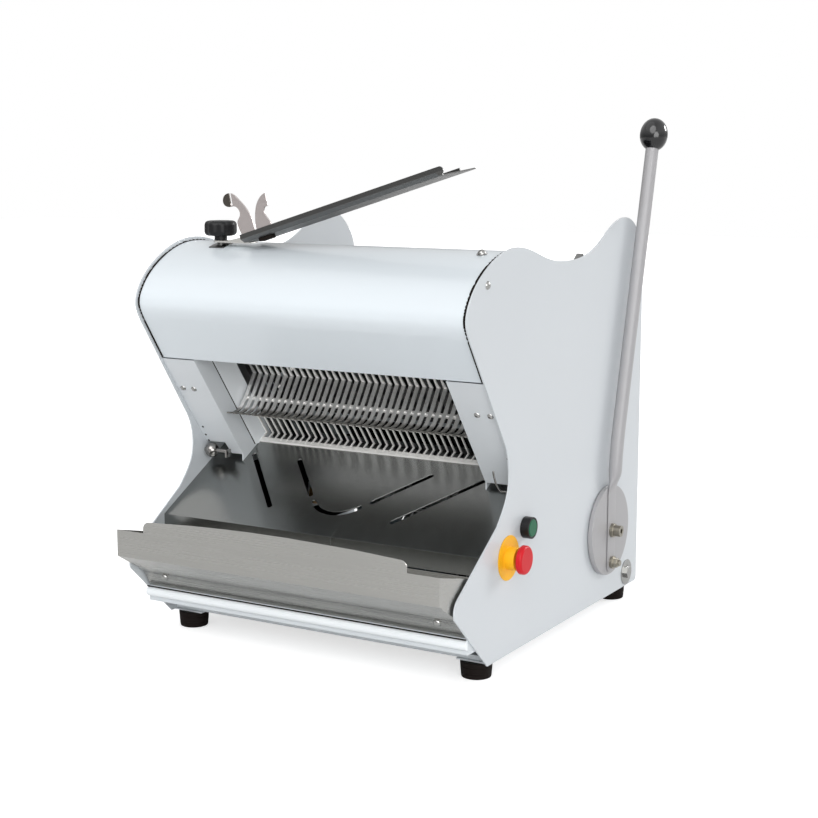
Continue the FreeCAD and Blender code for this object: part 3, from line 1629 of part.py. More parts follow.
def export_all():
    """Builds every piece and writes it out, moved to the origin below the middle of the outline."""
    shapes = {name: build() for name, build in PIECES.items()}
    middle = Part.makeCompound(list(shapes.values())).BoundBox.Center
    shift = Vector(-round(middle.x, 1), -round(middle.y, 1), 0)
    os.makedirs("parts", exist_ok=True)
    for name, shape in shapes.items():
        if not shape.isValid() or not shape.Solids:
            raise ValueError(name + " is not a valid solid")
        shape.translate(shift)
        shape.exportStep("parts/" + name + ".step")


export_all()
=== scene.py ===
"""Dresses the bench bread slicer: meshes with worked edges, painted, metal and plastic finishes, and the studio.

Sizes are millimetres in the body's own coordinates, as in the part's source: X from the middle of the body,
Y from just in front of the panels' toes, Z up from the floor. Finished meshes are in metres in the model's frame.
"""

import json
import logging
import math
from dataclasses import dataclass, field
from enum import Enum
from typing import Callable, Iterable, Sequence

import bmesh
import bpy
from mathutils import Matrix, Vector

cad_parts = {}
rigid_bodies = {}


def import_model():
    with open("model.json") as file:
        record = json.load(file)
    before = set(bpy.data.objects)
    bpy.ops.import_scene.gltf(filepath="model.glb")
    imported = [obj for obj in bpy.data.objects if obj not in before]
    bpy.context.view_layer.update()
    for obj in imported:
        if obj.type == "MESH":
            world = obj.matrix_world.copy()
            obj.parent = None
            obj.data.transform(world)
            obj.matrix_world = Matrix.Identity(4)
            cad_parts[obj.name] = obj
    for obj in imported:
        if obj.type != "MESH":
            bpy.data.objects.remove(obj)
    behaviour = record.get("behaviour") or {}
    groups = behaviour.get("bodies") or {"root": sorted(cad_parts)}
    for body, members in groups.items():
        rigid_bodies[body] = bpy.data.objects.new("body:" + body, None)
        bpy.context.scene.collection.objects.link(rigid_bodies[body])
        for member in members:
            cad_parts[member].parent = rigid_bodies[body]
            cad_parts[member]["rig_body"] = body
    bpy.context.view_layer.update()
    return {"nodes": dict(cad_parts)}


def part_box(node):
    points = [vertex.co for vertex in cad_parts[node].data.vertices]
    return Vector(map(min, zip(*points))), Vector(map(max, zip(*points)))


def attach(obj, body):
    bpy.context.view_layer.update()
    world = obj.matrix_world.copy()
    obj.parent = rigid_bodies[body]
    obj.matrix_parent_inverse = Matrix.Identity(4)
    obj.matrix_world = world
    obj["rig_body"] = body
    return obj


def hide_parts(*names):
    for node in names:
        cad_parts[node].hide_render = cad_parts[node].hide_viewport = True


log = logging.getLogger("slicer")

Point = tuple[float, float, float]
Colour = tuple[float, float, float]


# ---------------------------------------------------------------- places

@dataclass(frozen=True)
class Datum:
    """Where the body's own origin lies in the model's frame, in metres."""

    x: float
    y: float

    @classmethod
    def from_feet(cls) -> "Datum":
        """Finds the datum from the four feet, which stand evenly about the body."""
        low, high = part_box("feet")
        feet_middle_y = 0.292
        return cls((low.x + high.x) / 2, (low.y + high.y) / 2 - feet_middle_y)

    def matrix(self) -> Matrix:
        """Turns body millimetres into metres of the model's frame."""
        return Matrix.Translation((self.x, self.y, 0.0)) @ Matrix.Scale(0.001, 4)


@dataclass(frozen=True)
class Infeed:
    """The tilted region: travel runs back and up along its floor, rise runs up along the blades."""

    foot_y: float = 248.0
    foot_z: float = 342.6
    angle: float = math.radians(36.5)

    def at(self, x: float, travel: float, rise: float) -> Vector:
        """Point at x with the given travel and rise.

        Args:
            x: Distance from the middle of the body.
            travel: Distance along the infeed floor from the blade plane.
            rise: Distance along the blades from the infeed floor.

        Returns:
            The point in body millimetres.
        """
        cos, sin = math.cos(self.angle), math.sin(self.angle)
        return Vector((x, self.foot_y + travel * cos - rise * sin, self.foot_z + travel * sin + rise * cos))

    def matrix(self) -> Matrix:
        """Turns (x, travel, rise) into body millimetres."""
        return Matrix.Translation((0, self.foot_y, self.foot_z)) @ Matrix.Rotation(self.angle, 4, "X")


INFEED = Infeed()


class Axis(Enum):
    """Direction of an axis, of a shaft or of a grain."""

    X = (1.0, 0.0, 0.0)
    Y = (0.0, 1.0, 0.0)
    Z = (0.0, 0.0, 1.0)
    SLOPE = (0.0, 1.0, 1.0)


# ---------------------------------------------------------------- shader maths

class Num:
    """A shader socket that can be used in Python expressions."""

    def __init__(self, graph: "Graph", socket: bpy.types.NodeSocket) -> None:
        """Wraps a socket.

        Args:
            graph: The graph that owns the socket's node.
            socket: The output socket.
        """
        self.graph = graph
        self.socket = socket

    def _math(self, operation: str, first: "Num | float", second: "Num | float") -> "Num":
        """Adds one Math node."""
        return self.graph.add("ShaderNodeMath", {"operation": operation}, {0: first, 1: second})

    def __add__(self, other: "Num | float") -> "Num":
        """Sum."""
        return self._math("ADD", self, other)

    __radd__ = __add__

    def __mul__(self, other: "Num | float") -> "Num":
        """Product."""
        return self._math("MULTIPLY", self, other)

    __rmul__ = __mul__

    def __sub__(self, other: "Num | float") -> "Num":
        """Difference."""
        return self._math("SUBTRACT", self, other)

    def __rsub__(self, other: "Num | float") -> "Num":
        """Difference, from the other side."""
        return self._math("SUBTRACT", other, self)

    def stepped(self, edge: float, softness: float) -> "Num":
        """Ramps from 0 to 1 about an edge value.

        Args:
            edge: Value in the middle of the ramp.
            softness: Width of the ramp.

        Returns:
            The ramped value.
        """
        ranges = {1: edge - softness / 2, 2: edge + softness / 2}
        return self.graph.add("ShaderNodeMapRange", {"clamp": True}, {0: self, **ranges})


class Graph:
    """The node tree of one material or world."""

    def __init__(self, tree: bpy.types.NodeTree) -> None:
        """Starts from an empty tree.

        Args:
            tree: The tree to fill.
        """
        self.tree = tree
        self.tree.nodes.clear()

    def node(
        self, kind: str, settings: dict[str, object] | None = None, inputs: dict[object, object] | None = None,
    ) -> bpy.types.Node:
        """Adds a node.

        Args:
            kind: The node's type.
            settings: Properties set before the sockets.
            inputs: Socket values or links, by name or index.

        Returns:
            The node.
        """
        node = self.tree.nodes.new(kind)
        for name, value in (settings or {}).items():
            setattr(node, name, value)
        for key, value in (inputs or {}).items():
            socket = node.inputs[key]
            if isinstance(value, Num):
                self.tree.links.new(value.socket, socket)
            elif isinstance(value, tuple) and len(value) == 3 and socket.type == "RGBA":
                socket.default_value = (*value, 1.0)
            else:
                socket.default_value = value
        return node

    def add(
        self, kind: str, settings: dict[str, object] | None = None, inputs: dict[object, object] | None = None,
        output: object = 0,
    ) -> Num:
        """Adds a node and wraps one of its outputs.

        Args:
            kind: The node's type.
            settings: As for node.
            inputs: As for node.
            output: Name or index of the wanted output.

        Returns:
            The wrapped output.
        """
        return Num(self, self.node(kind, settings, inputs).outputs[output])

    def place(self, scale: Point = (1.0, 1.0, 1.0), move: Point = (0.0, 0.0, 0.0)) -> Num:
        """Object coordinates, stretched and moved.

        Args:
            scale: Factor along each axis.
            move: Shift before the stretch, in metres.

        Returns:
            The coordinates.
        """
        spot = self.add("ShaderNodeTexCoord", output="Object")
        shift = tuple(-m * s for m, s in zip(move, scale))
        return self.add("ShaderNodeMapping", {"vector_type": "POINT"}, {0: spot, 1: shift, 3: scale})

    def noise(self, vector: Num, scale: float, detail: float = 2.0, rough: float = 0.5) -> Num:
        """Noise from 0 to 1 at the given scale."""
        inputs = {"Vector": vector, "Scale": scale, "Detail": detail, "Roughness": rough}
        return self.add("ShaderNodeTexNoise", None, inputs)

    def mix(self, factor: Num, low: "Colour | Num", high: "Colour | Num") -> Num:
        """Colour between two, by a factor."""
        return self.add("ShaderNodeMix", {"data_type": "RGBA"}, {0: factor, 6: low, 7: high}, output=2)

    def bump(self, height: Num, distance: float, strength: float = 1.0) -> Num:
        """Surface normal for a height pattern, its depth in metres."""
        return self.add("ShaderNodeBump", None, {"Strength": strength, "Distance": distance, "Height": height})

    def surface(self, **inputs: object) -> None:
        """Ends the tree in a Principled shader with the given sockets; underscores stand for spaces."""
        named = {name.replace("_", " "): value for name, value in inputs.items()}
        shader = self.add("ShaderNodeBsdfPrincipled", None, named)
        self.node("ShaderNodeOutputMaterial", None, {0: shader})


def shaded(colour: Colour, factor: float) -> Colour:
    """A colour made lighter or darker."""
    return tuple(min(1.0, part * factor) for part in colour)


# ---------------------------------------------------------------- finishes

@dataclass(frozen=True)
class Finish:
    """One surface finish and the record's material slot that it belongs to."""

    name: str
    slot: str
    colour: Colour

    def shade(self, graph: Graph) -> None:
        """Fills the finish's node tree."""
        raise NotImplementedError

    def material(self) -> bpy.types.Material:
        """The finish as a Blender material, made on first use."""
        known = bpy.data.materials.get(self.name)
        if known is not None:
            return known
        material = bpy.data.materials.new(self.name)
        material.use_nodes = True
        self.shade(Graph(material.node_tree))
        material.diffuse_color = (*self.colour, 1.0)
        return material


@dataclass(frozen=True)
class PowderCoat(Finish):
    """Sprayed and baked paint: a fine orange peel, faint clouding and a soft gloss."""

    roughness: float = 0.32
    peel: float = 0.00005
    coat: float = 0.4

    def shade(self, graph: Graph) -> None:
        """Clouded colour, orange-peel bump and a clear top."""
        clouds = graph.noise(graph.place(), 5.0, 3.0)
        peel = graph.noise(graph.place(), 620.0, 2.0)
        colour = graph.mix(clouds, shaded(self.colour, 0.975), shaded(self.colour, 1.02))
        graph.surface(
            Base_Color=colour, Roughness=self.roughness + 0.08 * (clouds - 0.5),
            Coat_Weight=self.coat, Coat_Roughness=0.06,
            Normal=graph.bump(peel, self.peel, 0.5),
        )


@dataclass(frozen=True)
class Brushed(Finish):
    """Sheet metal with a straight grain: fine streaks in colour, gloss and height."""

    grain: Axis = Axis.X
    roughness: float = 0.3
    streak: float = 0.1
    depth: float = 0.00002
    metallic: float = 1.0

    def shade(self, graph: Graph) -> None:
        """Noise stretched along the grain, over broad dull patches."""
        stretch = tuple(6.0 if part else 700.0 for part in self.grain.value)
        fine = graph.noise(graph.place(stretch), 1.0, 3.0, 0.6)
        wide = graph.noise(graph.place(tuple(part / 6 for part in stretch)), 1.0, 2.0)
        patches = graph.noise(graph.place(), 9.0, 2.0)
        tone = 0.55 * fine + 0.25 * wide + 0.2 * patches
        colour = graph.mix(tone, shaded(self.colour, 1 - self.streak), shaded(self.colour, 1 + self.streak))
        graph.surface(
            Base_Color=self.tint(graph, colour), Metallic=self.metallic,
            Roughness=self.roughness + 0.14 * (tone - 0.5), Normal=graph.bump(fine, self.depth, 0.5),
        )

    def tint(self, graph: Graph, colour: Num) -> Num:
        """The grain's colour as it is; a subclass may change it with the place."""
        return colour


@dataclass(frozen=True)
class CurledSteel(Brushed):
    """Steel strips whose curled front is painted dark: painted shade on the curl."""

    curl_y: float = -0.1345
    # Painted shade on the curled front.
    curl_shade: Colour = (0.22, 0.215, 0.20)

    def tint(self, graph: Graph, colour: Num) -> Num:
        """Mixes the painted shade in, forward of the curl."""
        parts = graph.node("ShaderNodeSeparateXYZ", None, {0: graph.place()})
        behind = Num(graph, parts.outputs[1]).stepped(self.curl_y, 0.006)
        return graph.mix(behind, self.curl_shade, colour)


@dataclass(frozen=True)
class Turned(Finish):
    """Metal turned on a lathe: rings about the given axis."""

    centre: Point = (0.0, 0.0, 0.0)
    axis: Axis = Axis.X
    roughness: float = 0.25
    pitch: float = 0.0007

    def shade(self, graph: Graph) -> None:
        """Rings from a sine of the distance to the axis, broken up by noise."""
        flat = tuple(0.0 if part else 1.0 for part in self.axis.value)
        along = tuple(1.0 if part else 0.0 for part in self.axis.value)
        from_axis = graph.place(flat, self.centre)
        radius = graph.add("ShaderNodeVectorMath", {"operation": "LENGTH"}, {0: from_axis}, output="Value")
        run = graph.add("ShaderNodeVectorMath", {"operation": "LENGTH"}, {0: graph.place(along)}, output="Value")
        turns = (radius + run) * (2 * math.pi / self.pitch)
        rings = graph.add("ShaderNodeMath", {"operation": "SINE"}, {0: turns})
        mottle = graph.noise(graph.place(), 60.0, 3.0)
        tone = 0.5 + 0.2 * rings + 0.5 * (mottle - 0.5)
        colour = graph.mix(tone, shaded(self.colour, 0.86), shaded(self.colour, 1.1))
        graph.surface(
            Base_Color=colour, Metallic=1.0, Roughness=self.roughness + 0.12 * (mottle - 0.5),
            Normal=graph.bump(rings, 0.00001, 0.35),
        )


@dataclass(frozen=True)
class Cast(Finish):
    """Cast or wrought metal: sand texture, with or without paint."""

    roughness: float = 0.5
    metallic: float = 1.0
    sand: float = 0.00025

    def shade(self, graph: Graph) -> None:
        """Fine sand bump over broad patches of wear."""
        sand = graph.noise(graph.place(), 420.0, 4.0, 0.6)
        patches = graph.noise(graph.place(), 30.0, 3.0)
        colour = graph.mix(patches, shaded(self.colour, 0.85), shaded(self.colour, 1.12))
        graph.surface(
            Base_Color=colour, Metallic=self.metallic, Roughness=self.roughness + 0.18 * (patches - 0.5),
            Normal=graph.bump(sand, self.sand, 0.5),
        )


@dataclass(frozen=True)
class Moulded(Finish):
    """Moulded plastic or rubber: a faint mould texture and hardly any colour change."""

    roughness: float = 0.35
    texture: float = 0.00004
    grain: float = 900.0
    coat: float = 0.0
    gloss: float = 0.3

    def shade(self, graph: Graph) -> None:
        """Spark-eroded mould texture and faint flow marks."""
        fine = graph.noise(graph.place(), self.grain, 2.0)
        flow = graph.noise(graph.place(), 18.0, 2.0)
        colour = graph.mix(flow, shaded(self.colour, 0.93), shaded(self.colour, 1.07))
        graph.surface(
            Base_Color=colour, Roughness=self.roughness + 0.1 * (flow - 0.5), Coat_Weight=self.coat,
            Coat_Roughness=0.08, Specular_IOR_Level=self.gloss,
            Normal=graph.bump(fine, self.texture, 0.5),
        )


@dataclass(frozen=True)
class FoldedSteel(Finish):
    """Sheet of the scoop with streaks, darker above the fold of its walls than below it: painted shade on the upper
    facet.
    """

    # Painted shade on the facet above the fold.
    upper_facet_shade: Colour = (0.11, 0.11, 0.108)
    pivot: Point = (-0.1732, -0.0, 0.6665)
    slant: float = math.radians(16.9)
    fold: float = 0.0062

    def shade(self, graph: Graph) -> None:
        """Streaks along the chute; above the fold the colour turns to the painted shade."""
        across = (-math.sin(self.slant), 0.0, math.cos(self.slant))
        from_floor = {0: graph.place(move=self.pivot), 1: across}
        height = graph.add("ShaderNodeVectorMath", {"operation": "DOT_PRODUCT"}, from_floor, output="Value")
        upper = height.stepped(self.fold, 0.0003)
        streaks = graph.noise(graph.place((5.0, 500.0, 500.0)), 1.0, 3.0, 0.6)
        clouds = graph.noise(graph.place((9.0, 30.0, 30.0)), 1.0, 3.0)
        tone = 0.4 * streaks + 0.6 * clouds
        low = graph.mix(tone, shaded(self.colour, 0.6), shaded(self.colour, 1.4))
        high = graph.mix(tone, shaded(self.upper_facet_shade, 0.8), shaded(self.upper_facet_shade, 1.2))
        colour = graph.mix(upper, low, high)
        graph.surface(
            Base_Color=colour, Metallic=1.0, Roughness=0.3 + 0.12 * (tone - 0.5),
            Normal=graph.bump(streaks, 0.00002, 0.5),
        )


@dataclass(frozen=True)
class HornSteel(Finish):
    """Bead-blasted steel of the horns, darker on the left one's tip."""

    tip_dark_tone: Colour = (0.09, 0.08, 0.07)
    tip_dark_right_x: float = -0.1948

    def shade(self, graph: Graph) -> None:
        """Blasted grain, darker left of the tip's slit."""
        spot = graph.place()
        parts = graph.node("ShaderNodeSeparateXYZ", None, {0: spot})
        left = 1.0 - Num(graph, parts.outputs[0]).stepped(self.tip_dark_right_x, 0.0004)
        grain = graph.noise(spot, 900.0, 3.0)
        steel = graph.mix(grain, shaded(self.colour, 0.9), shaded(self.colour, 1.1))
        colour = graph.mix(left, steel, self.tip_dark_tone)
        graph.surface(
            Base_Color=colour, Metallic=0.85, Roughness=0.42 + 0.1 * (grain - 0.5),
            Normal=graph.bump(grain, 0.00005, 0.5),
        )


PAINT = PowderCoat("white powder coat", "body_paint", (0.70, 0.735, 0.765))
# The body has one white powder coat. The four tones below are lighter and darker copies of it: painted light and
# painted shade, set to how brightly each part is lit.
PANEL_PAINT_SHADED = PowderCoat("white powder coat on the panels", "body_paint", (0.61, 0.643, 0.672))
HOOD_PAINT_LIT = PowderCoat("white powder coat on the hood", "body_paint", (0.73, 0.785, 0.825))
JAMB_PAINT_LIT = PowderCoat("white powder coat, fresh", "body_paint", (0.90, 0.94, 0.97))
BAR_PAINT_SHADED = PowderCoat("grey powder coat", "body_paint", (0.64, 0.68, 0.71))
LEVER_PAINT = PowderCoat("lever enamel", "lever_paint", (0.37, 0.365, 0.375), roughness=0.4, coat=0.2)
TRAY_STEEL = Brushed("stainless, grain across", "stainless", (0.47, 0.465, 0.445), roughness=0.27)
TABLE_STEEL = Brushed("stainless, polished slide", "stainless", (0.29, 0.297, 0.29), Axis.SLOPE, 0.25, 0.08)
# The scoop's sheet is darker above its fold than below it, a painted shade.
SCOOP_STEEL = FoldedSteel("stainless, scoop sheet", "stainless", (0.16, 0.159, 0.156))
# Finger strips and comb rods: stainless lightened to near white and given less metal, so the lamps light them
# brightly: painted light. The fingers' curl is also darkened, a painted shade.
FINGER_STEEL_LIT_AND_SHADED = CurledSteel(
    "stainless, finger strips", "stainless", (0.98, 0.96, 0.92), Axis.SLOPE, 0.32, 0.12, metallic=0.66,
)
COMB_STEEL_LIT = Brushed("stainless, comb rods", "stainless", (0.97, 0.95, 0.92), Axis.SLOPE, 0.30, 0.06, metallic=0.25)
HINGE_STEEL = Brushed("stainless, hinge plate", "stainless", (0.72, 0.71, 0.68), roughness=0.32)
HORN_STEEL = HornSteel("stainless, blasted horns", "stainless", (0.50, 0.455, 0.445))
# Trough and pusher: stainless darkened nearly to black, painted shade for the dark behind the blades.
TROUGH_STEEL_SHADED = Moulded("dark non-stick coat", "stainless", (0.022, 0.022, 0.023), 0.5, 0.00008, 600.0)
# Blade steel darkened, painted shade for the blades deep in the body.
BLADE_STEEL_SHADED = Brushed("blade steel", "blade_steel", (0.14, 0.14, 0.14), Axis.Z, 0.3, 0.12)
BRIGHT_STEEL = Turned("bright steel bar", "bright_steel", (0.72, 0.71, 0.69), roughness=0.18)
ZINC_STEEL = Cast("zinc-plated screws", "bright_steel", (0.40, 0.40, 0.39), roughness=0.16, sand=0.00003)
DARK_CHROME = Cast("black chrome", "bright_steel", (0.30, 0.29, 0.28), roughness=0.14, sand=0.00002)
MACHINED = Cast("machined steel", "machined_steel", (0.36, 0.36, 0.36), roughness=0.38, sand=0.00008)
BOLT_STEEL = Cast("oiled bolts", "machined_steel", (0.34, 0.32, 0.27), roughness=0.3, sand=0.00006)
BRONZE = Turned("sintered bronze", "bronze", (0.36, 0.24, 0.12), roughness=0.4)
CAST_PAINT = Cast("hammered casting paint", "cast", (0.13, 0.16, 0.18), roughness=0.45, metallic=0.0, sand=0.0004)
ALLOY = Cast("cast light alloy", "alloy", (0.60, 0.61, 0.62), roughness=0.42, sand=0.0002)
NYLON = Moulded("grey guide plastic", "guide_plastic", (0.20, 0.20, 0.195), 0.45)
BLACK_PLASTIC = Moulded("black moulding", "black_plastic", (0.006, 0.006, 0.007), 0.42)
KNOB_PLASTIC = Moulded(
    "polished black knob", "knob_plastic", (0.006, 0.006, 0.007), 0.16, 0.00001, coat=0.4, gloss=0.5,
)
GREEN_PLASTIC = Moulded("green button", "green_plastic", (0.008, 0.12, 0.055), 0.4)
RED_PLASTIC = Moulded("red mushroom", "red_plastic", (0.60, 0.006, 0.014), 0.4)
YELLOW_PLASTIC = Moulded("yellow plate", "yellow_plastic", (0.90, 0.47, 0.012), 0.42)
RUBBER = Moulded("black rubber", "rubber", (0.008, 0.005, 0.004), 0.7, 0.0001, 500.0, gloss=0.15)
# Black sheets inside the body, painted shade.
SHADE_SHEET_BLACK = Moulded("black felt", "rubber", (0.004, 0.004, 0.004), 0.95, 0.0004, 700.0, gloss=0.0)


# ---------------------------------------------------------------- meshes

SHARP = math.radians(38.0)


class Workpiece:
    """One mesh under work, in body millimetres, that becomes a piece of the dressed slicer."""

    def __init__(self, datum: Datum) -> None:
        """Starts empty.

        Args:
            datum: Where the body's origin lies in the model's frame.
        """
        self.datum = datum
        self.bm = bmesh.new()

    def _moved(self, verts: Iterable[bmesh.types.BMVert], matrix: Matrix) -> list[bmesh.types.BMVert]:
        """Moves vertices by a matrix and returns them."""
        kept = list(verts)
        bmesh.ops.transform(self.bm, matrix=matrix, verts=kept)
        return kept

    def node_copy(self, node: bpy.types.Object, facet: float = 1.0) -> "Workpiece":
        """Copies a CAD node, merges its loose triangles and joins those that lie in one plane.

        Args:
            node: The CAD node's object.
            facet: Largest angle in degrees between triangles that are joined.

        Returns:
            The workpiece.
        """
        self.bm.from_mesh(node.data)
        self._moved(self.bm.verts, self.datum.matrix().inverted())
        bmesh.ops.remove_doubles(self.bm, verts=self.bm.verts, dist=0.004)
        bmesh.ops.dissolve_limit(
            self.bm, angle_limit=math.radians(facet), verts=self.bm.verts, edges=self.bm.edges,
        )
        return self

    def block(self, low: Point, high: Point, matrix: Matrix | None = None) -> list[bmesh.types.BMVert]:
        """Adds a rectangular block between two corners.

        Args:
            low: Lowest corner.
            high: Highest corner.
            matrix: Placement of the block's own coordinates.

        Returns:
            The block's vertices.
        """
        size = Vector(high) - Vector(low)
        middle = (Vector(high) + Vector(low)) / 2
        placed = (matrix or Matrix()) @ Matrix.Translation(middle) @ Matrix.Diagonal((*size, 1.0))
        return bmesh.ops.create_cube(self.bm, size=1.0, matrix=placed)["verts"]

    def turned(
        self, profile: Sequence[tuple[float, float]], place: Point, axis: Vector | Axis, steps: int = 48,
    ) -> list[bmesh.types.BMVert]:
        """Adds a closed shape spun about an axis.

        Args:
            profile: Radius and distance along the axis of each corner, from one pole to the other.
            place: Point on the axis where the distance along it is zero.
            axis: Direction of the axis.
            steps: Steps of the full turn.

        Returns:
            The shape's vertices.
        """
        known = set(self.bm.verts)
        points = [self.bm.verts.new((radius, 0.0, along)) for radius, along in profile]
        edges = [self.bm.edges.new(pair) for pair in zip(points, points[1:])]
        bmesh.ops.spin(
            self.bm, geom=points + edges, cent=(0, 0, 0), axis=(0, 0, 1), angle=2 * math.pi, steps=steps,
            use_merge=True, use_duplicate=False,
        )
        made = [vert for vert in self.bm.verts if vert not in known]
        bmesh.ops.remove_doubles(self.bm, verts=made, dist=0.002)
        made = [vert for vert in self.bm.verts if vert not in known]
        heading = Vector(axis.value if isinstance(axis, Axis) else axis)
        turn = Vector((0, 0, 1)).rotation_difference(heading).to_matrix().to_4x4()
        return self._moved(made, Matrix.Translation(place) @ turn)

    def plate(self, outline: Sequence[Point], depth: Point) -> list[bmesh.types.BMVert]:
        """Adds a flat plate: an outline pushed along a direction.

        Args:
            outline: Corners of the outline, in order.
            depth: How far and in which direction it is pushed.

        Returns:
            The plate's vertices.
        """
        corners = [self.bm.verts.new(point) for point in outline]
        face = self.bm.faces.new(corners)
        pushed = bmesh.ops.extrude_face_region(self.bm, geom=[face], use_keep_orig=True)["geom"]
        moved = [item for item in pushed if isinstance(item, bmesh.types.BMVert)]
        bmesh.ops.translate(self.bm, vec=depth, verts=moved)
        return corners + moved

    def swept(self, stations: Sequence[tuple[Vector, float, float]], side: Vector, sides: int = 24) -> None:
        """Adds a bar with a round or oval section that follows stations.

        Args:
            stations: Centre, half-width square to `side` and half-width along `side`, one after another.
            side: Direction that stays square to the whole run.
            sides: Corners of the section.
        """
        places = []
        for index, (centre, across, along) in enumerate(stations):
            before = stations[max(index - 1, 0)][0]
            after = stations[min(index + 1, len(stations) - 1)][0]
            heading = (after - before).normalized()
            other = side.cross(heading).normalized()
            turn = Matrix((other, side, heading)).transposed().to_4x4()
            places.append(Matrix.Translation(centre) @ turn @ Matrix.Diagonal((across, along, 1.0, 1.0)))
        made = bmesh.ops.create_circle(self.bm, segments=sides, radius=1.0, cap_ends=True, matrix=places[0])
        edges = list({edge: None for vert in made["verts"] for edge in vert.link_edges})
        for before, after in zip(places, places[1:]):
            made = bmesh.ops.extrude_edge_only(self.bm, edges=edges)["geom"]
            verts = [item for item in made if isinstance(item, bmesh.types.BMVert)]
            edges = [item for item in made if isinstance(item, bmesh.types.BMEdge)]
            self._moved(verts, after @ before.inverted())
        bmesh.ops.contextual_create(self.bm, geom=edges)

    def soften(self, width: float, segments: int = 2, angle: float = 30.0) -> "Workpiece":
        """Rounds every edge that is sharper than an angle.

        Args:
            width: Distance from the edge to where the rounding starts.
            segments: Facets of the rounding.
            angle: Edges below this angle stay.

        Returns:
            The workpiece.
        """
        limit = math.radians(angle)
        edges = [edge for edge in self.bm.edges if edge.is_manifold and edge.calc_face_angle(0.0) > limit]
        bmesh.ops.bevel(
            self.bm, geom=edges, offset=width, offset_type="OFFSET", segments=segments, profile=0.5,
            affect="EDGES", clamp_overlap=True, material=-1,
        )
        return self

    def mirror(self) -> "Workpiece":
        """Adds the mirror image in the body's middle plane."""
        shapes = list(self.bm.verts) + list(self.bm.edges) + list(self.bm.faces)
        bmesh.ops.mirror(self.bm, geom=shapes, axis="X", merge_dist=0.0)
        return self

    def finish(
        self, name: str, body: str, finish: Finish, replaces: Sequence[str] = (), recalculate: bool = True,
    ) -> bpy.types.Object:
        """Turns the workpiece into a piece of the scene.

        Args:
            name: The piece's name.
            body: The CAD body that it rides on.
            finish: Its surface finish.
            replaces: CAD nodes that it stands for.
            recalculate: Whether the faces are turned outwards first.

        Returns:
            The piece's object.
        """
        if recalculate:
            bmesh.ops.recalc_face_normals(self.bm, faces=self.bm.faces)
        self._moved(self.bm.verts, self.datum.matrix())
        mesh = bpy.data.meshes.new(name)
        self.bm.to_mesh(mesh)
        self.bm.free()
        for polygon in mesh.polygons:
            polygon.use_smooth = True
        mesh.set_sharp_from_angle(angle=SHARP)
        piece = bpy.data.objects.new(name, mesh)
        bpy.context.scene.collection.objects.link(piece)
        weigh = piece.modifiers.new("weighted normals", "WEIGHTED_NORMAL")
        weigh.keep_sharp = True
        mesh.materials.append(finish.material())
        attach(piece, body)
        if replaces:
            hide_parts(*replaces)
        log.info("%s: %d faces", name, len(mesh.polygons))
        return piece


@dataclass
class SubAssembly:
    """A group of pieces that are made and dressed together."""

    datum: Datum
    nodes: dict[str, bpy.types.Object]
    body_of: dict[str, str] = field(default_factory=dict)

    def piece(self) -> Workpiece:
        """An empty workpiece."""
        return Workpiece(self.datum)

    def worked(self, node: str, finish: Finish, width: float, segments: int = 2, angle: float = 30.0) -> None:
        """Stands a copy with rounded edges in for a CAD node.

        Args:
            node: Name of the CAD node.
            finish: Surface finish of the copy.
            width: Width of the rounding.
            segments: Facets of the rounding.
            angle: Edges below this angle stay.
        """
        copy = self.piece().node_copy(self.nodes[node]).soften(width, segments, angle)
        copy.finish(node + "_worked", self.body_of[node], finish, (node,), recalculate=False)

    def dress(self, *rows: tuple[object, ...]) -> None:
        """Works several CAD nodes, each row holding the arguments of worked."""
        for row in rows:
            self.worked(*row)

    def plain(self, node: str, finish: Finish) -> None:
        """Gives a CAD node that keeps its shape its finish.

        Args:
            node: Name of the CAD node.
            finish: Surface finish.
        """
        mesh_object = self.nodes[node]
        if not mesh_object.material_slots:
            mesh_object.data.materials.append(None)
        for holder in mesh_object.material_slots:
            holder.link = "OBJECT"
            holder.material = finish.material()

    def build(self) -> None:
        """Makes and dresses every piece."""
        raise NotImplementedError


# ---------------------------------------------------------------- body and outfeed

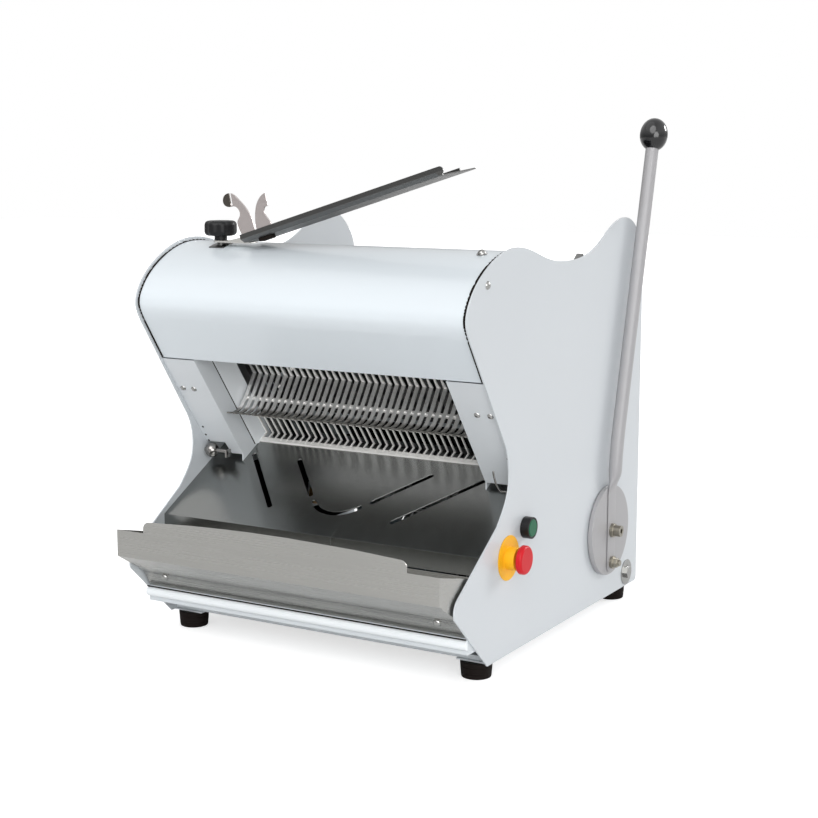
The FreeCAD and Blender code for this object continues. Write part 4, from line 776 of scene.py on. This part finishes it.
@dataclass
class SheetBody(SubAssembly):
    """Painted panels, hood, guards and covers."""

    edge: float = 0.9
    cover_face_y: float = 593.5
    louvre_rows: tuple[float, ...] = (250.0, 275.0, 300.0, 325.0, 350.0, 375.0)
    louvre_x: tuple[float, ...] = (-120.0, 0.0, 120.0)
    louvre_half: float = 45.0
    louvre_height: float = 9.0
    louvre_lift: float = 4.5
    hood_end_gap: float = 1.5
    guard_foot: tuple[float, float] = (127.0, 288.5)
    opening_x: float = 240.0
    inner_x: float = 307.5
    # Black strips along the hood's ends, painted shade for the gap at the panels:
    shade_strip_proud: float = 1.6
    shade_strip_width: tuple[float, float] = (2.6, 5.7)
    shade_strip_spread: tuple[float, float] = (0.0, 3.6)
    shade_strip_rear_y: float = 190.0
    shade_strip_foot: float = 1.2
    shade_strip_middle: tuple[float, float] = (120.0, 540.0)
    # Black strip between tray and rail, painted shade in the gap:
    rail_strip_line: tuple[float, float] = (-62.0, 87.0)
    rail_strip_section: tuple[float, float] = (2.0, 1.6)
    # Black sheets inside the body, painted shade:
    pad_gap: float = 0.4
    pad_thick: float = 1.6
    pad_y: tuple[float, float] = (222.0, 588.0)
    pad_z: tuple[float, float] = (92.0, 250.0)
    bush: tuple[float, float, float] = (455.0, 152.0, 27.0)
    rear_pad: tuple[Point, Point] = ((-300.0, 588.8, 95.0), (300.0, 590.4, 380.0))

    def build(self) -> None:
        """Rounds the sheets' edges, presses the louvres and lays the jambs' seams."""
        # The panels take the darkened copy of the white paint, painted shade.
        for node in ("side_panel_left", "side_panel_right"):
            self.worked(node, PANEL_PAINT_SHADED, self.edge, 3)
        self.hood()
        for node in ("guard_left", "guard_right", "motor_plate", "rear_cover"):
            self.worked(node, PAINT, 0.7)
        # The rail takes the lightened copy of the white paint, painted light. The crossbars take the darkened copy,
        # painted shade.
        self.dress(
            ("front_rail", JAMB_PAINT_LIT, 0.8), ("crossbars", BAR_PAINT_SHADED, 1.0),
            ("blade_shroud", TRAY_STEEL, 0.5),
        )
        self.louvres()
        self.jamb_seams()
        self.guard_holes()
        self.pads()
        self.rail_seal()

    def hood(self) -> None:
        """Copies the hood, shortened at both ends to make room for black strips of painted shade."""
        work = self.piece().node_copy(self.nodes["hood"])
        bottom = min(vert.co.z for vert in work.bm.verts)
        rims: dict[int, list[tuple[float, float]]] = {}
        for vert in work.bm.verts:
            if abs(vert.co.x) > self.inner_x - 0.5:
                rims.setdefault(1 if vert.co.x > 0 else -1, []).append((vert.co.y, vert.co.z))
                vert.co.x -= math.copysign(self.hood_end_gap, vert.co.x)
        work.soften(0.5)
        # The hood takes the lightened copy of the white paint, painted light.
        work.finish("hood_worked", "frame", HOOD_PAINT_LIT, ("hood",), recalculate=False)
        self.hood_seals(rims[1], bottom)

    def hood_seals(self, rim: list[tuple[float, float]], bottom: float) -> None:
        """Lays a black strip on each end of the hood, following its outer face: painted shade for the dark gap
        along the panels.

        Args:
            rim: Y and Z of the corners of the hood's end face, inner and outer ones mixed.
            bottom: Height of the hood's lower edge.
        """
        middle_y, middle_z = self.shade_strip_middle
        outer: dict[int, tuple[float, float, float]] = {}
        for y, z in rim:
            if y > self.shade_strip_rear_y or z < bottom + 1.0:
                continue
            turn = round(math.degrees(math.atan2(z - middle_z, middle_y - y)) * 2)
            reach = math.hypot(y - middle_y, z - middle_z)
            if turn not in outer or outer[turn][2] < reach:
                outer[turn] = (y, z, reach)
        line = [(y, z) for _, (y, z, _) in sorted(outer.items())]
        line.insert(0, (min(y for y, z in rim if z < bottom + 1.0), bottom + 0.4))
        work = self.piece()
        for sign in (-1, 1):
            near = sign * self.inner_x
            previous = None
            for y, z in line:
                away = Vector((0.0, y - middle_y, z - middle_z)).normalized()
                foot = Vector((0.0, y, z)) - away * self.shade_strip_foot
                top = Vector((0.0, y, z)) + away * self.shade_strip_proud
                spread = self.shade_strip_spread[sign > 0] * max(0.0, away.z)
                far = near - sign * (self.shade_strip_width[sign > 0] + spread)
                ring = [work.bm.verts.new(Vector((x, spot.y, spot.z))) for x, spot in (
                    (near, foot), (near, top), (far, top), (far, foot),
                )]
                if previous:
                    for index in range(4):
                        work.bm.faces.new((previous[index], previous[index - 1], ring[index - 1], ring[index]))
                else:
                    work.bm.faces.new(ring)
                previous = ring
            work.bm.faces.new(previous)
        work.finish("hood_seals", "frame", RUBBER)

    def pads(self) -> None:
        """Black sheets on the panels' and rear cover's insides, below the slide: painted shade that keeps the
        inside dark.
        """
        work = self.piece()
        x0 = self.inner_x - self.pad_gap
        x1 = x0 - self.pad_thick
        y0, y3 = self.pad_y
        z0, z3 = self.pad_z
        bush_y, bush_z, bush = self.bush
        y1, y2, z1, z2 = bush_y - bush, bush_y + bush, bush_z - bush, bush_z + bush
        for sign in (-1, 1):
            low, high = sorted((sign * x0, sign * x1))
            parts = ((y0, y1, z0, z3), (y2, y3, z0, z3), (y1, y2, z0, z1), (y1, y2, z2, z3))
            for front, back, bottom, top in parts:
                work.block((low, front, bottom), (high, back, top))
        work.block(*self.rear_pad)
        work.finish("felt_pads", "frame", SHADE_SHEET_BLACK)

    def rail_seal(self) -> None:
        """Black strip between the tray and the rail below it: painted shade in the gap between them."""
        work = self.piece()
        y, z = self.rail_strip_line
        deep, tall = self.rail_strip_section
        left = 0.5 - self.inner_x
        work.plate([(left, y, z - tall), (left, y, z), (left, y + deep, z)], (-2 * left, 0, 0))
        work.finish("rail_seal", "frame", RUBBER)

    def guard_point(self, x: float, back: float, up: float) -> Vector:
        """Point on a guard, measured from its lower front edge.

        Args:
            x: Distance from the middle of the body.
            back: Distance behind the front face.
            up: Distance up along the front face.

        Returns:
            The point in body millimetres.
        """
        cos, sin = math.cos(INFEED.angle), math.sin(INFEED.angle)
        y, z = self.guard_foot
        return Vector((x, y - up * sin + back / cos, z + up * cos))

    def jamb_seams(self) -> None:
        """Lays a second sheet on each jamb, behind a narrow black seal."""
        sheet, seal = self.piece(), self.piece()
        top, line, width, lift = 218.0, 36.0, 1.8, 1.1
        for work, near, far, proud in ((sheet, line + width, 84.0, lift), (seal, line, line + width, lift * 0.4)):
            x = -self.opening_x
            outline = [
                self.guard_point(x, near, 16.0), self.guard_point(x, near, top),
                self.guard_point(x, far, top), self.guard_point(x, far, 16.0),
            ]
            work.plate(outline, (proud, 0, 0))
        # The jamb sheets take the lightened copy of the white paint, painted light.
        sheet.soften(0.4).mirror().finish("jamb_sheets", "frame", JAMB_PAINT_LIT)
        seal.mirror().finish("jamb_seals", "frame", RUBBER)

    def guard_holes(self) -> None:
        """Small black discs in the guards' holes, near the panels: painted shade for the dark inside the holes."""
        work = self.piece()
        square = Vector((0.0, -math.cos(INFEED.angle), -math.sin(INFEED.angle)))
        for inset, up in ((9.0, 62.0), (6.0, 42.0), (6.0, 28.0)):
            place = self.guard_point(self.inner_x - inset, 0.0, up)
            work.turned([(0, 0.5), (1.7, 0.5), (2.1, 0.1), (2.1, -0.2), (0, -0.2)], tuple(place), square, 16)
        work.mirror().finish("guard_plugs", "frame", RUBBER)

    def louvres(self) -> None:
        """Presses rows of louvres in the rear cover, open downwards."""
        work = self.piece()
        for z in self.louvre_rows:
            for x in self.louvre_x:
                low, high = x - self.louvre_half, x + self.louvre_half
                out = self.cover_face_y + self.louvre_lift
                outline = [
                    (low, self.cover_face_y - 0.2, z + self.louvre_height), (low, out, z + 1.5), (low, out, z),
                    (low, self.cover_face_y - 0.2, z),
                ]
                work.plate(outline, (high - low, 0, 0))
        work.soften(1.2, 3)
        work.finish("rear_cover_louvres", "frame", PAINT)


@dataclass
class Outfeed(SubAssembly):
    """Sloping slide with its comb, the front tray and the catches."""

    def build(self) -> None:
        """Rounds the sheet edges and dresses the comb."""
        # The comb rods take the lightened steel, painted light.
        self.dress(
            ("outfeed_table", TABLE_STEEL, 0.45), ("front_tray", TRAY_STEEL, 0.5, 3),
            ("outfeed_comb", COMB_STEEL_LIT, 0.9, 3), ("wire_hooks", DARK_CHROME, 0.3),
        )


@dataclass
class BladePack(SubAssembly):
    """Two blade frames with scalloped blades, their guides and the hold-down comb."""

    count: int = 37
    pitch: float = 13.2
    width: float = 11.0
    thickness: float = 0.6
    low_rise: float = -55.0
    high_rise: float = 250.0
    centre_travel: float = 8.0
    scallop_pitch: float = 10.0
    scallop_depth: float = 1.8

    def build(self) -> None:
        """Makes the blades and dresses the frames."""
        for node, finish in (
            ("blade_frame_front", MACHINED), ("blade_frame_rear", MACHINED), ("guide_blocks", NYLON),
            ("con_rod_front", ALLOY), ("con_rod_rear", ALLOY),
        ):
            self.worked(node, finish, 0.8)
        for node in ("wrist_pin_front", "wrist_pin_rear", "hold_down_shaft"):
            self.worked(node, BRIGHT_STEEL, 0.6)
        # The finger strips take the lightened steel, painted light, with painted shade on the curl.
        self.worked("hold_down_comb", FINGER_STEEL_LIT_AND_SHADED, 0.45)
        self.blades("blades_rear", "rear_blades", 0, 1)
        self.blades("blades_front", "front_blades", 1, -1)

    def edge_line(self) -> list[tuple[float, float]]:
        """Scalloped cutting edge from its lower to its upper end.

        Returns:
            Distance in from the blade's edge, and rise, of each corner.
        """
        points = [(0.0, self.low_rise)]
        rise = self.low_rise + 25.0
        while rise + self.scallop_pitch < self.high_rise - 20.0:
            for share, depth in ((0.0, 0.0), (0.25, 0.75), (0.5, 1.0), (0.75, 0.75)):
                points.append((self.scallop_depth * depth, rise + self.scallop_pitch * share))
            rise += self.scallop_pitch
        return points + [(0.0, rise), (0.0, self.high_rise)]

    def blades(self, node: str, body: str, first: int, direction: int) -> None:
        """Makes every second blade.

        Args:
            node: CAD node that the blades stand for.
            body: Body that they ride on.
            first: Number of the first blade.
            direction: -1 for the front frame and 1 for the rear one.
        """
        work = self.piece()
        middle = direction * self.centre_travel
        back, front = middle - self.width / 2, middle + self.width / 2
        for index in range(first, self.count, 2):
            x = (index - (self.count - 1) / 2) * self.pitch - self.thickness / 2
            outline = [INFEED.at(x, front - depth, rise) for depth, rise in self.edge_line()]
            outline += [INFEED.at(x, back, self.high_rise), INFEED.at(x, back, self.low_rise)]
            work.plate(outline, (self.thickness, 0, 0))
        # The blades take the darkened steel, painted shade.
        work.finish(node + "_scalloped", body, BLADE_STEEL_SHADED, (node,))


# ---------------------------------------------------------------- drive

@dataclass
class Drive(SubAssembly):
    """Motor, pulleys, belt and the crankshaft with its bearings."""

    motor_y: float = 130.0
    motor_z: float = 140.0
    motor_radius: float = 62.0
    motor_right: float = 186.0
    motor_length: float = 200.0
    fin_count: int = 40
    fin_height: float = 4.0
    fin_half: float = 1.0
    shield_width: float = 12.0
    plain_right: float = 34.0
    plain_left: float = 46.0

    def build(self) -> None:
        """Makes the motor's fins and end shields and dresses the running gear."""
        self.dress(
            ("crankshaft", MACHINED, 0.8), ("crank_bearings", CAST_PAINT, 1.5, 3),
            ("crank_pulley", ALLOY, 0.8), ("motor_pulley", ALLOY, 0.6), ("motor_shaft", BRIGHT_STEEL, 0.8),
            ("drive_belt", RUBBER, 0.6),
        )
        self.motor()

    def motor(self) -> None:
        """Fins round the casing, between two end shields."""
        self.plain("motor_body", CAST_PAINT)
        work = self.piece()
        right = self.motor_right - self.plain_right
        left = self.motor_right - self.motor_length + self.plain_left
        centre = Vector((0.0, self.motor_y, self.motor_z))
        for index in range(self.fin_count):
            angle = 2 * math.pi * index / self.fin_count
            turn = Matrix.Translation(centre) @ Matrix.Rotation(angle, 4, "X")
            low = (left, -self.fin_half, self.motor_radius - 1.0)
            work.block(low, (right, self.fin_half, self.motor_radius + self.fin_height), turn)
        radius = self.motor_radius
        for x0, x1 in ((right, right + self.shield_width), (left - self.shield_width, left)):
            work.turned(
                [(0, x0), (radius + 3, x0), (radius + 5, x0 + 2), (radius + 5, x1 - 2), (radius + 3, x1), (0, x1)],
                tuple(centre), Axis.X,
            )
        work.finish("motor_fins", "frame", CAST_PAINT)


# ---------------------------------------------------------------- feed

@dataclass
class Feed(SubAssembly):
    """Loading trough, pusher, feed arms and the hand lever."""

    shaft_y: float = 455.0
    shaft_z: float = 152.0
    lever_x: float = 326.0
    flat_x: float = 321.2
    flat_half: float = 17.0
    flat_thick: float = 1.1
    flat_below: float = 76.0
    flat_above: float = 66.0
    flare: float = 42.0
    bend_before: float = 30.0
    bend_after: float = 40.0
    tube: float = 11.5
    bolts: tuple[tuple[float, float], ...] = ((0.0, 12.5), (58.0, 11.0))
    bend: tuple[float, float] = (4.0, 148.0)
    top: tuple[float, float] = (137.0, 666.0)

    def build(self) -> None:
        """Makes the lever and dresses the rest."""
        # The trough and pusher take the darkened steel, painted shade.
        self.dress(
            ("infeed_trough", TROUGH_STEEL_SHADED, 0.5), ("pusher", TROUGH_STEEL_SHADED, 0.8),
            ("pusher_carriages", NYLON, 1.0), ("pusher_rails", BRIGHT_STEEL, 0.8),
            ("rail_blocks", ALLOY, 1.0), ("feed_shaft", BRIGHT_STEEL, 1.0), ("feed_bushes", BRONZE, 0.6),
            ("feed_arms", MACHINED, 1.2), ("lever_disc", LEVER_PAINT, 1.6, 4),
            ("lever_knob", KNOB_PLASTIC, 0.6), ("lever_bolts", BOLT_STEEL, 0.8, 3),
        )
        self.lever()
        self.spacers()

    def lever(self) -> None:
        """Draws the tube: pressed flat over the disc, round above it, leaning back from its bend."""
        low = self.shaft_z - self.flat_below
        flat_end = self.shaft_z + self.flat_above
        bend_z = self.shaft_z + self.bend[1]
        sections = [
            (low + 0.3, 0.30, 0.75), (low + 1.6, 0.55, 0.92), (low + 5.0, 0.82, 1.0), (low + 10.0, 0.96, 1.0),
            (low + 17.0, 1.0, 1.0), (self.shaft_z, 1.0, 1.0), (flat_end, 1.0, 1.0),
        ]
        stations = []
        for z, wide, thick in sections:
            centre = Vector((self.flat_x, self.shaft_y, z))
            stations.append((centre, self.flat_half * wide, self.flat_thick * thick))
        for share in (0.2, 0.4, 0.6, 0.8, 1.0):
            ease = share * share * (3 - 2 * share)
            z = flat_end + self.flare * share
            wide = self.flat_half + (self.tube - self.flat_half) * ease
            thick = self.flat_thick + (self.tube - self.flat_thick) * ease
            x = self.flat_x + (self.lever_x - self.flat_x) * ease
            stations.append((Vector((x, self.shaft_y + 0.5 * share, z)), wide, thick))
        bend = Vector((self.lever_x, self.shaft_y + self.bend[0], bend_z))
        end = Vector((self.lever_x, self.shaft_y + self.top[0], self.shaft_z + self.top[1]))
        start = bend - Vector((0, 0, self.bend_before))
        start.y = stations[-1][0].y + 1.0
        far = bend + (end - bend).normalized() * self.bend_after
        for share in (0.0, 0.2, 0.4, 0.6, 0.8, 1.0):
            point = start.lerp(bend, share).lerp(bend.lerp(far, share), share)
            stations.append((point, self.tube, self.tube))
        stations.append((end, self.tube, self.tube))
        work = self.piece()
        work.swept(stations, Vector((1, 0, 0)), 32)
        work.finish("lever_tube", "feed_lever", LEVER_PAINT, ("lever",))

    def spacers(self) -> None:
        """Spacer rings between the flat of the tube and the bolts' washers."""
        work = self.piece()
        for drop, radius in self.bolts:
            ring = [(0, 0.4), (radius - 0.4, 0.4), (radius, 0.8), (radius, 3.6), (radius - 0.4, 4.0), (0, 4.0)]
            work.turned(ring, (self.flat_x, self.shaft_y, self.shaft_z - drop), Axis.X)
        work.finish("bolt_spacers", "feed_lever", BOLT_STEEL)


# ---------------------------------------------------------------- controls

@dataclass
class Controls(SubAssembly):
    """Start button and emergency stop."""

    def build(self) -> None:
        """Dresses the switches."""
        self.dress(
            ("control_box", BLACK_PLASTIC, 1.5, 3), ("start_bezel", BLACK_PLASTIC, 1.0, 3),
        )
        self.plain("start_button", GREEN_PLASTIC)
        self.dress(
            ("stop_collar", YELLOW_PLASTIC, 0.6), ("stop_stem", BLACK_PLASTIC, 0.4),
        )
        self.plain("stop_mushroom", RED_PLASTIC)


# ---------------------------------------------------------------- bag scoop

@dataclass
class BagScoop(SubAssembly):
    """Swivelling scoop on the hood, its horns, bumper and clamp."""

    pivot: tuple[float, float] = (-222.0, 50.0)
    hub_height: float = 7.5
    grip_radius: float = 27.2
    lobe_depth: float = 1.9
    bore: float = 6.1

    def build(self) -> None:
        """Rounds the sheet edges and dresses the clamp."""
        self.dress(
            ("scoop_base", SCOOP_STEEL, 0.5), ("scoop_hinge", HINGE_STEEL, 0.5, 3),
            ("scoop", SCOOP_STEEL, 0.45), ("scoop_horns", HORN_STEEL, 0.5),
            ("scoop_bumper", RUBBER, 1.5, 3),
        )
        self.knob()

    def knob(self) -> None:
        """Moulds the clamp's lobed grip with a generous rounding, on its hub."""
        low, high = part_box("clamp_knob")
        corner = self.datum.matrix().inverted() @ low
        top = (self.datum.matrix().inverted() @ high).z
        x, y = self.pivot
        work = self.piece()
        grip_low = corner.z + self.hub_height
        outline = []
        for step in range(96):
            angle = 2 * math.pi * step / 96
            radius = self.grip_radius - self.lobe_depth * (0.5 - 0.5 * math.cos(8 * angle)) ** 1.5
            outline.append((x + radius * math.cos(angle), y + radius * math.sin(angle), grip_low))
        work.plate(outline, (0, 0, top - grip_low))
        work.soften(7.5, 6, 60.0)
        work.finish("clamp_grip", "scoop_clamp", BLACK_PLASTIC, ("clamp_knob",))
        hub = self.piece()
        rise = self.hub_height + 2.0
        profile = [(self.bore, 0), (10.2, 0), (10.5, 0.4), (10.5, rise), (self.bore, rise), (self.bore, 0)]
        hub.turned(profile, (x, y, corner.z), Axis.Z, 40)
        hub.finish("clamp_hub", "scoop_clamp", BLACK_PLASTIC)


# ---------------------------------------------------------------- base

@dataclass
class Base(SubAssembly):
    """Feet, crumb tray, cable entry and fasteners."""

    foot_x: float = 278.0
    foot_y: tuple[float, float] = (28.0, 556.0)
    foot_low: float = 24.0
    foot_high: float = 26.0
    foot_height: float = 27.0
    screw_x: float = 306.0
    screw_z: float = 640.0
    fullness: float = 1.22

    def build(self) -> None:
        """Turns the feet and dresses the rest."""
        self.feet()
        self.dress(
            ("crumb_tray", TRAY_STEEL, 0.5), ("cable_gland", BLACK_PLASTIC, 0.6),
        )
        self.screws()

    def screws(self) -> None:
        """Copies the screw heads, each a little fuller about its own middle."""
        work = self.piece().node_copy(self.nodes["fasteners"])
        left = set(work.bm.verts)
        for first in work.bm.verts:
            if first not in left:
                continue
            left.remove(first)
            island, queue = [], [first]
            while queue:
                vert = queue.pop()
                island.append(vert)
                for edge in vert.link_edges:
                    other = edge.other_vert(vert)
                    if other in left:
                        left.remove(other)
                        queue.append(other)
            middle = sum((vert.co for vert in island), Vector()) / len(island)
            wide = 1.0 if middle.z > self.screw_z else self.fullness
            full = Vector((1.0 if abs(middle.x) > self.screw_x else wide, wide, wide))
            for vert in island:
                vert.co = middle + (vert.co - middle) * full
        work.finish("fasteners_full", "frame", ZINC_STEEL, ("fasteners",), recalculate=False)

    def feet(self) -> None:
        """Rubber feet with grooves round them."""
        low, high, height = self.foot_low, self.foot_high, self.foot_height
        profile = [
            (0, 0), (low - 2.0, 0), (low - 0.6, 0.5), (low, 1.8), (low + 0.6, 8.0), (low + 0.1, 8.4),
            (low + 0.2, 9.6), (low + 0.8, 10.0), (low + 1.4, 18.0), (low + 0.9, 18.4), (low + 1.0, 19.6),
            (high - 0.4, 20.0), (high - 0.1, height - 1.0), (high - 1.0, height), (0, height),
        ]
        work = self.piece()
        for x in (-self.foot_x, self.foot_x):
            for y in self.foot_y:
                work.turned(profile, (x, y, 0.0), Axis.Z)
        work.finish("feet_grooved", "frame", RUBBER, ("feet",))


# ---------------------------------------------------------------- studio

@dataclass(frozen=True)
class Studio:
    """Camera, lamps, white surroundings and floor."""

    camera_at: Point = (1.4053, -2.38699, 0.8213)
    camera_down: float = 9.17
    camera_turn: float = 30.27
    lens: float = 71.39
    ambient: float = 0.40
    glow: float = 0.62
    lamps: tuple[tuple[str, Point, float, float], ...] = (
        ("key", (0.20, -1.0, 0.90), 1.25, 45.0), ("fill", (0.95, -1.0, 0.15), 1.45, 40.0),
        ("side", (0.45, 0.75, 0.30), 1.15, 16.0), ("top", (-0.35, -0.45, 0.9), 0.3, 60.0),
    )

    def build(self) -> None:
        """Sets the whole studio up."""
        self.camera()
        self.world()
        for name, toward, strength, spread in self.lamps:
            self.sun(name, toward, strength, spread)
        self.floor()
        bpy.context.scene.view_settings.view_transform = "Standard"

    def camera(self) -> None:
        """Places the camera."""
        data = bpy.data.cameras.new("camera")
        data.lens = self.lens
        data.sensor_width = 36.0
        data.clip_end = 50.0
        camera = bpy.data.objects.new("camera", data)
        camera.location = self.camera_at
        camera.rotation_euler = (math.radians(90.0 - self.camera_down), 0.0, math.radians(self.camera_turn))
        bpy.context.scene.collection.objects.link(camera)
        bpy.context.scene.camera = camera

    def world(self) -> None:
        """White for the camera and in reflections, plainer light elsewhere."""
        world = bpy.data.worlds.new("surroundings")
        world.use_nodes = True
        bpy.context.scene.world = world
        graph = Graph(world.node_tree)
        path = graph.node("ShaderNodeLightPath")
        straight = Num(graph, path.outputs["Is Camera Ray"]) + Num(graph, path.outputs["Is Transmission Ray"])
        glossy = Num(graph, path.outputs["Is Glossy Ray"])
        heading = graph.node("ShaderNodeTexCoord")
        parts = graph.node("ShaderNodeSeparateXYZ", None, {0: Num(graph, heading.outputs["Generated"])})
        right, up = Num(graph, parts.outputs[0]), Num(graph, parts.outputs[2])
        mirrored = 0.34 + 0.46 * up.stepped(0.22, 0.3) + 0.25 * right.stepped(0.55, 0.4)
        plain = (1.0 - straight - glossy) * self.ambient
        strength = straight + glossy * mirrored + plain
        light = graph.add("ShaderNodeBackground", None, {0: (1.0, 1.0, 1.0), 1: strength})
        graph.node("ShaderNodeOutputWorld", None, {0: light})

    def sun(self, name: str, toward: Point, strength: float, spread: float) -> None:
        """Adds a broad soft lamp.

        Args:
            name: The lamp's name.
            toward: Direction from the object to the lamp.
            strength: Its strength.
            spread: Its breadth in degrees.
        """
        data = bpy.data.lights.new(name, "SUN")
        data.energy = strength
        data.angle = math.radians(spread)
        lamp = bpy.data.objects.new(name, data)
        lamp.rotation_euler = Vector(toward).to_track_quat("Z", "Y").to_euler()
        bpy.context.scene.collection.objects.link(lamp)

    def floor(self) -> None:
        """A pale floor that shows as white and keeps the shadow."""
        mesh = bpy.data.meshes.new("floor")
        work = bmesh.new()
        bmesh.ops.create_grid(work, x_segments=1, y_segments=1, size=12.0)
        work.to_mesh(mesh)
        work.free()
        floor = bpy.data.objects.new("floor", mesh)
        bpy.context.scene.collection.objects.link(floor)
        material = bpy.data.materials.new("pale floor")
        material.use_nodes = True
        graph = Graph(material.node_tree)
        path = graph.node("ShaderNodeLightPath")
        glossy = Num(graph, path.outputs["Is Glossy Ray"])
        grey = 0.82 + 0.13 * glossy
        tone = graph.add("ShaderNodeCombineXYZ", None, {0: grey, 1: grey, 2: grey})
        matt = graph.add("ShaderNodeBsdfDiffuse", None, {"Color": tone})
        glow = graph.add("ShaderNodeEmission", None, {"Color": (1.0, 1.0, 1.0), "Strength": self.glow})
        both = graph.add("ShaderNodeAddShader", None, {0: matt, 1: glow})
        straight = Num(graph, path.outputs["Is Camera Ray"]) + Num(graph, path.outputs["Is Transmission Ray"])
        seen = graph.add("ShaderNodeMixShader", None, {0: straight.stepped(0.5, 0.2), 1: matt, 2: both})
        graph.node("ShaderNodeOutputMaterial", None, {0: seen})
        mesh.materials.append(material)


# ---------------------------------------------------------------- making


def main() -> None:
    """Loads the frame, builds every sub-assembly and sets up the studio."""
    logging.basicConfig(level=logging.INFO, format="%(name)s: %(message)s")
    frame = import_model()
    datum = Datum.from_feet()
    body_of = {node: piece["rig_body"] for node, piece in frame["nodes"].items()}
    groups: tuple[Callable[..., SubAssembly], ...] = (
        SheetBody, Outfeed, BladePack, Drive, Feed, Controls, BagScoop, Base,
    )
    for group in groups:
        log.info("building %s", group.__name__)
        group(datum, frame["nodes"], body_of).build()
    Studio().build()
    bpy.context.view_layer.update()


if __name__ == "__main__":
    main()
